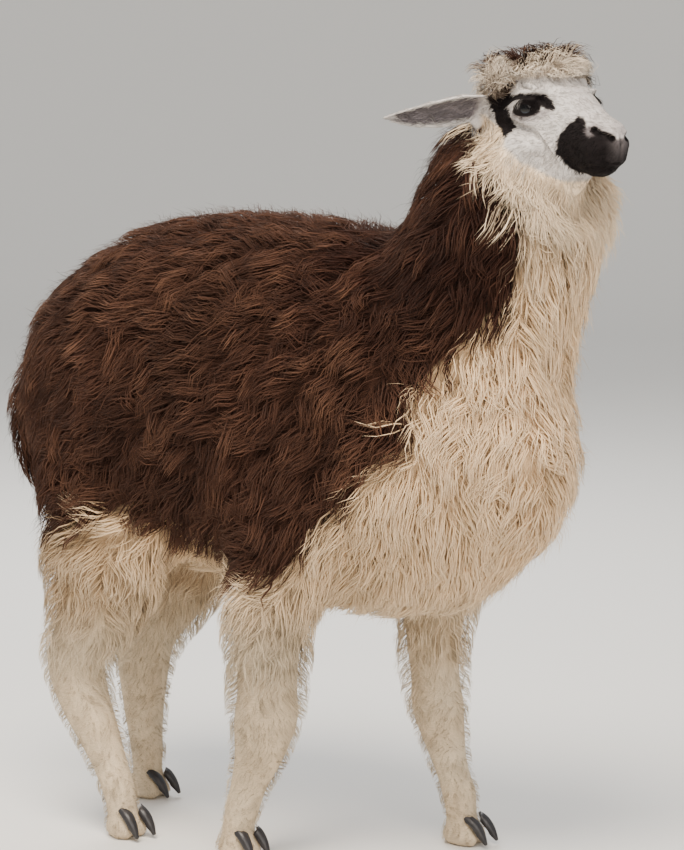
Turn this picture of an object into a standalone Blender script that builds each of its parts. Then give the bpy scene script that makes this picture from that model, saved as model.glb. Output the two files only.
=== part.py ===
"""A life-size standing alpaca, as a still museum model, in metres.

Frame: +X is the way the body faces, +Y is the animal's left, +Z is up. The origin is on the floor,
under the middle of the animal's box. The solids reach to the tips of the fleece.
The whole body is lofted from a few rows of stations, welded into one soft form, and then parted by
thin cuts into the nodes that a person would name. Eyes and toenails are pieces of their own.
"""

import math

import bmesh
import bpy
from mathutils import Matrix, Vector

# Driving dimensions, in metres.
PART_GAP = 0.0006  # the width of the thin cuts between parts
SEAT_GAP = 0.0004  # the clearance round an eye, ear, tail or nail that sits in another piece
FORM_VOXEL = 0.006  # the grain of the welded form
HEAD_YAW = math.radians(-20)  # the head looks a little to the animal's right
HEAD_PLACE = Vector((0.410, 0.030, 1.165))  # the point midway between the eyes
EYE_RADIUS = 0.0205
NAIL_WIDTH = 0.0110
TOE_SPREAD = 0.0155  # from the middle of a foot to the middle of a toe
TOE_RADII = (0.034, 0.0165, 0.026)
EAR_HALF_WIDTH = 0.027
EAR_CUP = 0.013
EAR_WALL = 0.005

# The trunk, from rump to breast: x, height of the back, height of the belly, half width.
TRUNK = (
    (-0.535, 0.765, 0.630, 0.080),
    (-0.510, 0.832, 0.565, 0.135),
    (-0.450, 0.900, 0.505, 0.186),
    (-0.350, 0.958, 0.455, 0.226),
    (-0.220, 0.998, 0.430, 0.244),
    (-0.080, 1.006, 0.408, 0.246),
    (0.060, 0.994, 0.384, 0.236),
    (0.180, 0.975, 0.374, 0.224),
    (0.262, 0.940, 0.378, 0.210),
    (0.320, 0.895, 0.398, 0.184),
    (0.350, 0.825, 0.465, 0.140),
)

# The neck, from the breast to the poll: x, y, z, half width, half depth.
NECK = (
    (0.205, 0.000, 0.700, 0.180, 0.190),
    (0.258, 0.008, 0.800, 0.180, 0.182),
    (0.292, 0.020, 0.880, 0.169, 0.164),
    (0.318, 0.034, 0.956, 0.158, 0.150),
    (0.332, 0.046, 1.022, 0.154, 0.155),
    (0.333, 0.053, 1.068, 0.144, 0.149),
    (0.322, 0.056, 1.094, 0.122, 0.132),
)

# Each leg, from the shoulder or hip to the fetlock: x, y, z, half width, half depth. The fifth row
# is the knee or the hock.
FORELEG_RIGHT = (
    (0.120, -0.140, 0.640, 0.080, 0.120),
    (0.050, -0.150, 0.500, 0.080, 0.105),
    (0.014, -0.146, 0.410, 0.076, 0.086),
    (0.004, -0.142, 0.330, 0.069, 0.077),
    (0.002, -0.139, 0.250, 0.061, 0.067),
    (-0.012, -0.137, 0.180, 0.049, 0.054),
    (-0.034, -0.136, 0.120, 0.038, 0.040),
    (-0.050, -0.136, 0.075, 0.033, 0.034),
)
FORELEG_LEFT = (
    (0.180, 0.140, 0.640, 0.080, 0.120),
    (0.150, 0.148, 0.500, 0.078, 0.100),
    (0.128, 0.142, 0.410, 0.071, 0.078),
    (0.122, 0.138, 0.330, 0.064, 0.070),
    (0.130, 0.134, 0.240, 0.055, 0.059),
    (0.146, 0.132, 0.170, 0.043, 0.046),
    (0.163, 0.132, 0.115, 0.035, 0.037),
    (0.176, 0.133, 0.078, 0.033, 0.034),
)
HINDLEG_RIGHT = (
    (-0.330, -0.110, 0.680, 0.110, 0.165),
    (-0.312, -0.135, 0.540, 0.096, 0.140),
    (-0.316, -0.142, 0.440, 0.088, 0.120),
    (-0.344, -0.143, 0.350, 0.073, 0.092),
    (-0.378, -0.141, 0.280, 0.058, 0.066),
    (-0.366, -0.140, 0.215, 0.049, 0.054),
    (-0.328, -0.140, 0.145, 0.041, 0.044),
    (-0.296, -0.141, 0.080, 0.033, 0.034),
)
HINDLEG_LEFT = (
    (-0.350, 0.110, 0.680, 0.110, 0.165),
    (-0.346, 0.130, 0.540, 0.096, 0.142),
    (-0.364, 0.128, 0.440, 0.086, 0.118),
    (-0.404, 0.120, 0.340, 0.072, 0.092),
    (-0.442, 0.113, 0.262, 0.057, 0.066),
    (-0.446, 0.107, 0.190, 0.047, 0.053),
    (-0.438, 0.100, 0.120, 0.040, 0.043),
    (-0.428, 0.095, 0.070, 0.033, 0.034),
)

# Where each foot stands: x, y, and the angle that its toes turn out from the body's line.
FEET = {
    "front_right": (-0.058, -0.136, -6.0),
    "front_left": (0.184, 0.135, 6.0),
    "hind_right": (-0.280, -0.143, -8.0),
    "hind_left": (-0.422, 0.090, 8.0),
}

# The tail hangs down behind the rump.
TAIL = (
    (-0.490, 0.000, 0.770, 0.045, 0.040),
    (-0.540, 0.000, 0.740, 0.058, 0.048),
    (-0.572, 0.002, 0.680, 0.068, 0.050),
    (-0.576, 0.004, 0.600, 0.066, 0.048),
    (-0.562, 0.006, 0.535, 0.048, 0.036),
    (-0.550, 0.006, 0.500, 0.020, 0.016),
)

# In the head's own frame: x forward from between the eyes, y to its left, z up.
# The face, from the poll to the lips: x, height of its middle, half width, half height.
FACE = (
    (-0.118, -0.010, 0.052, 0.056),
    (-0.080, -0.012, 0.066, 0.076),
    (-0.040, -0.018, 0.066, 0.082),
    (0.000, -0.024, 0.061, 0.079),
    (0.035, -0.033, 0.053, 0.068),
    (0.070, -0.042, 0.044, 0.056),
    (0.098, -0.048, 0.038, 0.046),
    (0.122, -0.052, 0.034, 0.040),
    (0.138, -0.054, 0.027, 0.031),
)

LEGS = {
    "front_right": FORELEG_RIGHT,
    "front_left": FORELEG_LEFT,
    "hind_right": HINDLEG_RIGHT,
    "hind_left": HINDLEG_LEFT,
}
KNEE = 4  # the row of the knee or the hock

# What of the body goes with each leg: the low and the high corner of a box.
LEG_BOXES = {
    "front_right": ((-0.130, -0.300, -0.050), (0.108, -0.060, 0.420)),
    "front_left": ((0.040, 0.060, -0.050), (0.280, 0.300, 0.420)),
    "hind_right": ((-0.560, -0.300, -0.050), (-0.198, -0.025, 0.460)),
    "hind_left": ((-0.620, 0.025, -0.050), (-0.244, 0.300, 0.460)),
}

# Thin cuts: a point and the direction towards the first part.
HEAD_CUT = ((0.290, 0.0, 1.150), (0.655, 0.0, 0.756))
NECK_CUT = ((0.130, 0.0, 0.985), (0.572, 0.0, 0.820))

# Base, tip and the way that the cup opens, in the head's own frame.
EARS = {
    "right": ((-0.066, -0.056, 0.010), (-0.142, -0.210, -0.018), (0.7, -0.3, -0.55)),
    "left": ((-0.066, 0.056, 0.010), (-0.206, 0.152, -0.024), (0.6, 0.5, -0.45)),
}
EYE_PLACE = (0.0, 0.0500, 0.0)

# Each material's colour and roughness, and the words in a part's name that choose it.
LOOKS = {
    "brown_fleece": ((0.045, 0.022, 0.015), 0.95),
    "cream_fleece": ((0.600, 0.480, 0.330), 0.95),
    "face_fur": ((0.620, 0.590, 0.560), 0.90),
    "ear_fur": ((0.300, 0.270, 0.260), 0.90),
    "eye": ((0.020, 0.026, 0.040), 0.08),
    "toenail": ((0.012, 0.010, 0.010), 0.40),
}
SLOTS = (
    ("toenail", "toenail"),
    ("eye", "eye"),
    ("ear_", "ear_fur"),
    ("leg", "cream_fleece"),
    ("foot", "cream_fleece"),
    ("head", "face_fur"),
)

BODY_TRIANGLES = 2400
HEAD_TRIANGLES = 1850
FOOT_TRIANGLES = 270
FINE_VOXEL = 0.003

# Soft lumps that are welded on: middle, and radii along x, y and z. The breast is in the body's
# frame, and the rest are in the head's. The paired ones stand on both sides.
BREAST = ((0.318, 0.008, 0.755), (0.118, 0.155, 0.125))
TOPKNOT = ((-0.052, 0.004, 0.046), (0.088, 0.103, 0.056))
POLL = ((-0.085, 0.000, 0.000), (0.070, 0.085, 0.085))
NAPE = ((-0.122, -0.016, -0.096), (0.108, 0.122, 0.092))
NOSE = ((0.126, 0.000, -0.030), (0.028, 0.024, 0.017))
CHIN = ((0.106, 0.000, -0.084), (0.032, 0.025, 0.017))
PAIRED_LUMPS = (
    ((-0.020, 0.030, -0.050), (0.062, 0.033, 0.052)),  # cheek
    ((-0.004, 0.044, 0.026), (0.042, 0.026, 0.014)),  # brow over the eye
    ((0.004, 0.050, -0.022), (0.032, 0.016, 0.008)),  # rim under the eye
    ((0.115, 0.015, -0.058), (0.028, 0.022, 0.024)),  # half of the split upper lip
)
NOSTRIL = ((0.144, 0.018, -0.036), (0.011, 0.008, 0.0055))
MOUTH_SLIT = ((0.146, 0.000, -0.0775), (0.034, 0.036, 0.0026))


def clear_scene():
    for old in list(bpy.data.objects):
        bpy.data.objects.remove(old, do_unlink=True)


def collection(name, shown):
    made = bpy.data.collections.new(name)
    made.hide_render = not shown
    bpy.context.scene.collection.children.link(made)
    return made


def material(name, colour, roughness):
    made = bpy.data.materials.new(name)
    made.use_nodes = True
    shader = made.node_tree.nodes["Principled BSDF"]
    shader.inputs["Base Color"].default_value = (*colour, 1.0)
    shader.inputs["Roughness"].default_value = roughness
    return made


def new_object(name, mesh, home):
    made = bpy.data.objects.new(name, mesh)
    home.objects.link(made)
    return made


def catmull_rom(rows, per_span):
    """Rows of numbers, smoothly filled in between, with the given rows kept."""
    ends = [rows[0], *rows, rows[-1]]
    filled = []
    for before, start, stop, after in zip(ends, ends[1:], ends[2:], ends[3:]):
        for step in range(per_span):
            t = step / per_span
            filled.append(
                [
                    0.5 * (2 * b + (c - a) * t + (2 * a - 5 * b + 4 * c - d) * t**2
                           + (3 * b - a - 3 * c + d) * t**3)
                    for a, b, c, d in zip(before, start, stop, after)
                ]
            )
    filled.append(list(rows[-1]))
    return filled


def sweep(name, rows, home, per_span=4, sides=28, dome=0.8):
    """A closed loft with domed ends. Each row is x, y, z, half width along Y, and half depth."""
    stations = catmull_rom(rows, per_span)
    middles = [Vector(s[:3]) for s in stations]
    form = bmesh.new()
    rings = []
    for i, (station, middle) in enumerate(zip(stations, middles)):
        along = (middles[min(i + 1, len(middles) - 1)] - middles[max(i - 1, 0)]).normalized()
        across = (Vector((0, 1, 0)) - along * along.y).normalized()
        deep = along.cross(across)
        ring = []
        for side in range(sides):
            turn = 2 * math.pi * side / sides
            offset = across * station[3] * math.cos(turn) + deep * station[4] * math.sin(turn)
            ring.append(form.verts.new(middle + offset))
        rings.append(ring)
    for ring, following in zip(rings, rings[1:]):
        for side in range(sides):
            after = (side + 1) % sides
            form.faces.new((ring[side], ring[after], following[after], following[side]))
    for ring, station, inner in ((rings[0], 0, 1), (rings[-1], -1, -2)):
        middle = middles[station]
        bulge = (middle - middles[inner]).normalized() * min(stations[station][3:5]) * dome
        offsets = [vertex.co - middle for vertex in ring]
        for rise in (math.radians(30), math.radians(60)):
            following = [
                form.verts.new(middle + offset * math.cos(rise) + bulge * math.sin(rise))
                for offset in offsets
            ]
            for side in range(sides):
                after = (side + 1) % sides
                form.faces.new((ring[side], ring[after], following[after], following[side]))
            ring = following
        pole = form.verts.new(middle + bulge)
        for side in range(sides):
            form.faces.new((ring[side], ring[(side + 1) % sides], pole))
    bmesh.ops.recalc_face_normals(form, faces=form.faces)
    mesh = bpy.data.meshes.new(name)
    form.to_mesh(mesh)
    form.free()
    return new_object(name, mesh, home)


def ellipsoid(name, middle, radii, home, turn=Matrix.Identity(4), segments=32):
    form = bmesh.new()
    bmesh.ops.create_uvsphere(form, u_segments=segments, v_segments=segments // 2, radius=1.0)
    place = Matrix.Translation(Vector(middle)) @ turn @ Matrix.Diagonal((*radii, 1.0))
    bmesh.ops.transform(form, matrix=place, verts=form.verts)
    mesh = bpy.data.meshes.new(name)
    form.to_mesh(mesh)
    form.free()
    return new_object(name, mesh, home)


def moved(obj, matrix):
    obj.data.transform(matrix)
    return obj


def evaluated_mesh(obj):
    graph = bpy.context.evaluated_depsgraph_get()
    return bpy.data.meshes.new_from_object(obj.evaluated_get(graph))


def bake_modifiers(obj):
    """Puts the evaluated shape into the object's own mesh."""
    mesh = evaluated_mesh(obj)
    obj.modifiers.clear()
    obj.data = mesh
    return obj


def welded(name, pieces, home, voxel, rounds):
    """One soft form from overlapping closed pieces, without the hollows shut in between them."""
    form = bmesh.new()
    for piece in pieces:
        form.from_mesh(piece.data)
        bpy.data.objects.remove(piece)
    mesh = bpy.data.meshes.new(name)
    form.to_mesh(mesh)
    form.free()
    whole = new_object(name, mesh, home)
    remesh = whole.modifiers.new("weld", "REMESH")
    remesh.mode = "VOXEL"
    remesh.voxel_size = voxel
    smooth = whole.modifiers.new("soften", "SMOOTH")
    smooth.factor = 0.5
    smooth.iterations = rounds
    return largest_body(bake_modifiers(whole))


def boolean(obj, other, operation):
    cut = obj.modifiers.new(operation.lower(), "BOOLEAN")
    cut.operation = operation
    cut.solver = "EXACT"
    cut.object = other
    return bake_modifiers(obj)


def lightened(obj, triangles):
    """The same form in about this many triangles."""
    thin = obj.modifiers.new("lighten", "DECIMATE")
    thin.ratio = triangles / (2 * len(obj.data.polygons))
    return bake_modifiers(obj)


def half(obj, point, normal, home):
    """The closed part of a solid on the side that the normal points to."""
    form = bmesh.new()
    form.from_mesh(obj.data)
    everything = form.verts[:] + form.edges[:] + form.faces[:]
    made = bmesh.ops.bisect_plane(
        form, geom=everything, dist=1e-6, plane_co=point, plane_no=normal, clear_inner=True
    )
    rim = [e for e in made["geom_cut"] if isinstance(e, bmesh.types.BMEdge) and e.is_boundary]
    filled = bmesh.ops.edgeloop_fill(form, edges=rim)
    bmesh.ops.triangulate(form, faces=filled["faces"])
    bmesh.ops.recalc_face_normals(form, faces=form.faces)
    mesh = bpy.data.meshes.new(obj.name)
    form.to_mesh(mesh)
    form.free()
    return new_object(obj.name, mesh, home)


def parted(obj, point, normal):
    """The two closed parts of a solid on either side of a thin plane cut, the normal's side first."""
    point, normal = Vector(point), Vector(normal).normalized()
    home = obj.users_collection[0]
    ahead = half(obj, point + normal * PART_GAP / 2, normal, home)
    behind = half(obj, point - normal * PART_GAP / 2, -normal, home)
    bpy.data.objects.remove(obj)
    return ahead, behind


def only(obj, point, normal, gap=PART_GAP):
    """One closed part of a solid: the side of a plane that the normal points to."""
    point, normal = Vector(point), Vector(normal).normalized()
    kept = half(obj, point + normal * gap / 2, normal, obj.users_collection[0])
    bpy.data.objects.remove(obj)
    return kept


def box(name, low, high, home):
    form = bmesh.new()
    bmesh.ops.create_cube(form, size=1.0)
    low, high = Vector(low), Vector(high)
    place = Matrix.Translation((low + high) / 2) @ Matrix.Diagonal((*(high - low), 1.0))
    bmesh.ops.transform(form, matrix=place, verts=form.verts)
    mesh = bpy.data.meshes.new(name)
    form.to_mesh(mesh)
    form.free()
    return new_object(name, mesh, home)


def taken_out(obj, low, high, home):
    """What of a solid lies in a box, and the solid with that taken out of it."""
    low, high = Vector(low), Vector(high)
    grow = Vector([PART_GAP] * 3)
    taken = new_object("taken", obj.data.copy(), home)
    for target, cutter, operation in (
        (taken, box("cutter", low, high, home), "INTERSECT"),
        (obj, box("cutter", low - grow, high + grow, home), "DIFFERENCE"),
    ):
        boolean(target, cutter, operation)
        bpy.data.objects.remove(cutter)
    return taken, obj


def largest_body(obj):
    """Drops the crumbs that a cut left beside the main body of a piece."""
    form = bmesh.new()
    form.from_mesh(obj.data)
    left, bodies = set(form.verts), []
    while left:
        front, body = [left.pop()], []
        while front:
            vertex = front.pop()
            body.append(vertex)
            joined = [edge.other_vert(vertex) for edge in vertex.link_edges]
            fresh = [other for other in joined if other in left]
            left.difference_update(fresh)
            front += fresh
        bodies.append(body)
    bodies.sort(key=len)
    bmesh.ops.delete(form, geom=[v for body in bodies[:-1] for v in body], context="VERTS")
    form.to_mesh(obj.data)
    form.free()
    return obj


def shade(obj):
    """Soft shading, with the rims of the cuts left sharp."""
    form = bmesh.new()
    form.from_mesh(obj.data)
    for face in form.faces:
        face.smooth = True
    for edge in form.edges:
        edge.smooth = edge.calc_face_angle(0.0) < math.radians(45)
    form.to_mesh(obj.data)
    form.free()


def trimmed(obj, *hosts):
    """A piece cut back to stand just off the others that it grows from."""
    home = obj.users_collection[0]
    for host in hosts:
        grown = new_object("grown", host.data.copy(), home)
        swell = grown.modifiers.new("swell", "DISPLACE")
        swell.strength = SEAT_GAP
        swell.mid_level = 0.0
        bake_modifiers(grown)
        boolean(obj, grown, "DIFFERENCE")
        bpy.data.objects.remove(grown)
    return largest_body(obj)


def head_frame():
    return Matrix.Translation(HEAD_PLACE) @ Matrix.Rotation(HEAD_YAW, 4, "Z")


def head_pieces(home):
    """The face, lips, cheeks, brows and topknot, in the body's frame."""
    frame = head_frame()
    rows = [(x, 0.0, z, width, height) for x, z, width, height in FACE]
    made = [moved(sweep("face", rows, home), frame)]
    for middle, radii in (TOPKNOT, POLL, NAPE, NOSE, CHIN):
        made.append(moved(ellipsoid("lump", middle, radii, home), frame))
    for (x, y, z), radii in PAIRED_LUMPS:
        for side in (1, -1):
            made.append(moved(ellipsoid("lump", (x, side * y, z), radii, home), frame))
    return made


def trunk_rows():
    return [(x, 0, (top + low) / 2, wide, (top - low) / 2) for x, top, low, wide in TRUNK]


def whole_body(home):
    """Trunk, neck, skull and legs down to the fetlocks, in one soft form."""
    pieces = [sweep("trunk", trunk_rows(), home), sweep("neck", NECK, home, dome=0.4)]
    pieces.append(ellipsoid("breast", *BREAST, home))
    pieces += [sweep("leg", rows, home) for rows in LEGS.values()]
    pieces += head_pieces(home)
    return lightened(welded("whole", pieces, home, FORM_VOXEL, 6), BODY_TRIANGLES)


def head_form(home):
    """The head in a finer grain than the body, with the top of the neck for it to be parted from."""
    pieces = [sweep("neck", NECK, home, dome=0.4)] + head_pieces(home)
    head = lightened(welded("head", pieces, home, FINE_VOXEL, 3), HEAD_TRIANGLES)
    frame = head_frame()
    cutters = [ellipsoid("mouth", *MOUTH_SLIT, home, segments=24)]
    for side in (1, -1):
        (x, y, z), radii = NOSTRIL
        cutters.append(ellipsoid("nostril", (x, side * y, z), radii, home, segments=12))
    for cutter in cutters:
        boolean(head, moved(cutter, frame), "DIFFERENCE")
        bpy.data.objects.remove(cutter)
    return largest_body(head)


def eye(name, side, head, home):
    """An eyeball, and its socket in the head."""
    frame = head_frame()
    middle = (EYE_PLACE[0], side * EYE_PLACE[1], EYE_PLACE[2])
    socket_radius = EYE_RADIUS + SEAT_GAP
    socket = moved(ellipsoid("socket", middle, [socket_radius] * 3, home, segments=16), frame)
    largest_body(boolean(head, socket, "DIFFERENCE"))
    bpy.data.objects.remove(socket)
    return moved(ellipsoid(name, middle, [EYE_RADIUS] * 3, home, segments=16), frame)


def ear(name, base, tip, opening, hosts, home, stations=11, columns=7):
    """A long pointed cup of even wall, from base to tip in the head's frame."""
    base, tip = Vector(base), Vector(tip)
    along = (tip - base).normalized()
    facing = (Vector(opening) - along * along.dot(Vector(opening))).normalized()
    across = along.cross(facing)
    form = bmesh.new()
    rings = []
    for i in range(stations):
        t = i / (stations - 1)
        width = EAR_HALF_WIDTH * max(math.sin(math.pi * (0.20 + 0.79 * t)), 0.08) ** 0.8
        cup = EAR_CUP * width / EAR_HALF_WIDTH
        wall = EAR_WALL * (1 - 0.6 * t)
        middle = base.lerp(tip, t) + facing * 0.010 * math.sin(math.pi * t)
        across_steps = [2 * c / (columns - 1) - 1 for c in range(columns)]
        outer = [middle + across * width * s - facing * cup * (1 - s * s) for s in across_steps]
        inner = [
            middle + across * (width - 0.3 * wall) * s - facing * (cup * (1 - s * s) - wall)
            for s in reversed(across_steps)
        ]
        rings.append([form.verts.new(point) for point in outer + inner])
    around = len(rings[0])
    for ring, following in zip(rings, rings[1:]):
        for side in range(around):
            after = (side + 1) % around
            form.faces.new((ring[side], ring[after], following[after], following[side]))
    for ring in (rings[0], rings[-1]):
        for c in range(columns - 1):
            form.faces.new((ring[c], ring[c + 1], ring[around - 2 - c], ring[around - 1 - c]))
    bmesh.ops.recalc_face_normals(form, faces=form.faces)
    mesh = bpy.data.meshes.new(name)
    form.to_mesh(mesh)
    form.free()
    return trimmed(moved(new_object(name, mesh, home), head_frame()), *hosts)


def foot_form(name, rows, home):
    """The pastern and two padded toes, cut flat where they meet the floor."""
    x, y, turn = FEET[name]
    turned = Matrix.Translation((x, y, 0)) @ Matrix.Rotation(math.radians(turn), 4, "Z")
    ankle = rows[-1]
    pastern = [rows[-3], rows[-2], ankle, (x - 0.004, y, 0.036, 0.030, 0.028)]
    pieces = [sweep("pastern", pastern, home)]
    for side in (1, -1):
        spread = Matrix.Rotation(math.radians(4 * side), 4, "Z")
        toe = ellipsoid("toe", (0.006, side * TOE_SPREAD, 0.0170), TOE_RADII, home)
        pieces.append(moved(toe, turned @ spread))
    pieces.append(moved(ellipsoid("heel", (-0.014, 0, 0.018), (0.028, 0.027, 0.026), home), turned))
    foot = lightened(welded("foot_" + name, pieces, home, FINE_VOXEL, 2), FOOT_TRIANGLES)
    return only(foot, (0, 0, 0), (0, 0, 1), 0.0), turned


def toenail(name, side, turned, foot, home):
    """A claw from the top of a toe, down over its end."""
    reach = ((0.012, 0.046), (0.028, 0.037), (0.040, 0.022), (0.048, 0.0085))
    sizes = (0.85, 1.0, 0.80, 0.35)
    rows = [
        (x, side * (TOE_SPREAD + 0.06 * x), z, NAIL_WIDTH * size, 0.85 * NAIL_WIDTH * size)
        for (x, z), size in zip(reach, sizes)
    ]
    return trimmed(moved(sweep(name, rows, home, 1, 8), turned), foot)


def slot_of(name):
    """The material that a part is made of."""
    for word, slot in SLOTS:
        if word in name:
            return slot
    return "brown_fleece"


def centred(pieces):
    """Moves all the pieces together, so that their box stands on the origin."""
    corners = [piece.matrix_world @ Vector(corner) for piece in pieces for corner in piece.bound_box]
    shift = [-(min(c[k] for c in corners) + max(c[k] for c in corners)) / 2 for k in (0, 1)]
    for piece in pieces:
        piece.data.transform(Matrix.Translation((*shift, 0)))
    print("moved by", [round(s, 4) for s in shift])


def main():
    clear_scene()
    alpaca = collection("alpaca", True)
    body = whole_body(alpaca)
    cut_at, towards_head = HEAD_CUT
    head = only(head_form(alpaca), cut_at, towards_head)
    body = only(body, cut_at, -Vector(towards_head))
    neck, body = parted(body, *NECK_CUT)
    pieces = {"head": head, "neck": neck}
    for side, word in ((-1, "right"), (1, "left")):
        pieces["eye_" + word] = eye("eye_" + word, side, head, alpaca)
        base, tip, opening = EARS[word]
        pieces["ear_" + word] = ear("ear_" + word, base, tip, opening, (head, neck), alpaca)
    for name, rows in LEGS.items():
        leg, body = taken_out(body, *LEG_BOXES[name], alpaca)
        for part, joint in (("upper", KNEE), ("lower", -1)):
            place = Vector(rows[joint][:3])
            upward = (Vector(rows[joint - 1][:3]) - place).normalized()
            if part == "lower":
                place = place + upward * 0.020
            upper, leg = parted(leg, place, upward)
            pieces[f"{name}_{part}_leg"] = upper
        bpy.data.objects.remove(leg)
        foot, turned = foot_form(name, rows, alpaca)
        foot = only(foot, place, -upward)
        pieces[f"{name}_foot"] = foot
        for side, word in ((1, "left"), (-1, "right")):
            nail = f"{name}_toenail_{word}"
            pieces[nail] = toenail(nail, side, turned, foot, alpaca)
    pieces["tail"] = trimmed(
        lightened(welded("tail", [sweep("tail", TAIL, alpaca)], alpaca, FORM_VOXEL, 2), 260), body
    )
    pieces["trunk"] = body
    looks = {slot: material(slot, *look) for slot, look in LOOKS.items()}
    for name, piece in pieces.items():
        piece.name = piece.data.name = name
        piece.data.materials.clear()
        piece.data.materials.append(looks[slot_of(name)])
        shade(piece)
    centred(list(pieces.values()))


main()
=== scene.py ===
"""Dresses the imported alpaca: one skin, a coat of solid wool locks, eyes, toenails and a studio."""

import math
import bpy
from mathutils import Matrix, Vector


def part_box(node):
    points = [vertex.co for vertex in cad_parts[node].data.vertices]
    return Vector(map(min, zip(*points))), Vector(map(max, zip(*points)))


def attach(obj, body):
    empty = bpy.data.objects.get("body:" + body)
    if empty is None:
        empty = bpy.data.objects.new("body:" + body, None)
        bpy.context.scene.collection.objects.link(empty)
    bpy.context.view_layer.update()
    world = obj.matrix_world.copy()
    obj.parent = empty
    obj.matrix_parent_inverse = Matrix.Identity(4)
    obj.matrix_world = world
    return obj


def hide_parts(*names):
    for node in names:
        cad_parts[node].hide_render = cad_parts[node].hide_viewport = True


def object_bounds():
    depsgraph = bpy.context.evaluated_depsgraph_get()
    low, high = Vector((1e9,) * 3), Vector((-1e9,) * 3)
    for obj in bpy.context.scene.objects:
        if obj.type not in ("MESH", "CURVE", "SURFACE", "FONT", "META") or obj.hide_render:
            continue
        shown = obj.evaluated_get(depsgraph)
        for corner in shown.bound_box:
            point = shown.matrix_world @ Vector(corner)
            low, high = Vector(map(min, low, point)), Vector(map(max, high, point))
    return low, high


bl_info = {
    "name": "Alpaca in full fleece",
    "version": (1, 0, 0),
    "blender": (4, 5, 0),
    "location": "View3D > Sidebar > Alpaca",
    "description": "Skin, fleece, face, eyes and toenails over the alpaca's solids",
    "category": "Object",
}

from collections import namedtuple
from contextlib import contextmanager

import bmesh
import bpy
import numpy as np
from bpy.props import FloatProperty, FloatVectorProperty, IntProperty, PointerProperty
from mathutils import Matrix, Vector
from mathutils.bvhtree import BVHTree
from mathutils.kdtree import KDTree

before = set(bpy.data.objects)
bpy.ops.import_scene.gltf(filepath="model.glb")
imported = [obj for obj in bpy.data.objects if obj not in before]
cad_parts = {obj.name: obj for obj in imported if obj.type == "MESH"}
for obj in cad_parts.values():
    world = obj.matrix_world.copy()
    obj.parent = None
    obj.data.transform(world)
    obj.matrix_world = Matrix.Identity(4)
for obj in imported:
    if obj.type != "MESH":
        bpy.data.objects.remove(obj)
CAD_BOX = [list(corner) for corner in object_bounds()]

MM = 0.001
UP = Vector((0.0, 0.0, 1.0))
CUT_GAP = 1.5 * MM  # more than the gap between two nodes that meet


def middle_of(node):
    low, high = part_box(node)
    return (Vector(low) + Vector(high)) / 2


# The head's own axes: forward, left and up from between the eyes.
EYES = {"left": middle_of("eye_left"), "right": middle_of("eye_right")}
EYE_RADIUS = (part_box("eye_left")[1][2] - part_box("eye_left")[0][2]) / 2
HEAD_MIDDLE = (EYES["left"] + EYES["right"]) / 2
HEAD_LEFT = (EYES["left"] - EYES["right"]).normalized()
HEAD_FORWARD = HEAD_LEFT.cross(UP).normalized()
HEAD_AXES = np.array([HEAD_FORWARD, HEAD_LEFT, UP])

NAILS = sorted(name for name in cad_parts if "toenail" in name)
FLESH = sorted(
    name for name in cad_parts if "toenail" not in name and not name.startswith("eye_")
)
FEET = ("front_left", "front_right", "hind_left", "hind_right")
SIDES = ((1, "left"), (-1, "right"))

# How far the skin lies under the coat's tips, by the words in a node's name.
COAT_DEPTH = {
    "trunk": 0.034,
    "neck": 0.030,
    "tail": 0.022,
    "upper_leg": 0.022,
    "lower_leg": 0.009,
    "foot": 0.005,
    "head": 0.020,
}
FACE_DEPTH = 0.0016  # under the short hair of the face
NECK_TOP_DEPTH = 0.036  # where the head's skin runs into the neck
MOST_WOOL = {"head": 0.044, "body": 0.024}  # most that the skull's wool adds, by skin

# A window gives where a share starts and where it is whole, in metres. A rag gives a ragged edge's
# height, the size of its blobs and its seed.

# Where the brown saddle ends below, along the body, and in front, up the neck.
SADDLE_LOW = (
    (-0.60, 0.540), (-0.30, 0.507), (-0.227, 0.521), (-0.183, 0.552), (-0.150, 0.522),
    (-0.09, 0.495), (0.00, 0.472), (0.07, 0.462), (0.12, 0.480), (0.15, 0.520),
    (0.165, 0.557), (0.215, 0.595), (0.30, 0.66),
)
SADDLE_FRONT = (  # height, and how far forward
    (0.60, 0.318), (0.66, 0.318), (0.70, 0.320), (0.746, 0.310), (0.777, 0.328), (0.808, 0.357),
    (0.830, 0.385), (0.886, 0.426), (0.980, 0.434), (1.023, 0.424), (1.080, 0.385), (1.130, 0.332),
    (1.180, 0.300),
)
SADDLE_EDGE = (-0.006, 0.006)
SADDLE_RAGS = ((0.010, 0.035, 3), (0.003, 0.012, 4))
HEAD_ABOVE_NECK = (-0.030, 0.000)
BROWN_OFF_FACE = (0.006, 0.016)
# The dark crown: its half width, its front, and the lines at the fringe, the temples and the nape.
CROWN_HALF_WIDTH, CROWN_FRONT, CROWN_RAG = 0.036, 0.03, 0.6
CROWN_FRINGE_UP, CROWN_FRINGE_BACK, CROWN_FRINGE_SLOPE = 0.052, 0.034, 1.1
CROWN_TEMPLE_UP, CROWN_TEMPLE_SLOPE = 0.044, 1.6
CROWN_NAPE_BACK, CROWN_NAPE_SLOPE = 0.088, 2.0

# Where the short hair of the face ends behind, by height, in the head's side view.
FACE_REAR = (
    (-0.112, 0.066), (-0.105, 0.052), (-0.100, 0.036), (-0.087, 0.016), (-0.063, -0.006),
    (-0.038, -0.038), (-0.020, -0.080), (0.000, -0.102), (0.030, -0.104), (0.050, -0.085),
)
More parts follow.
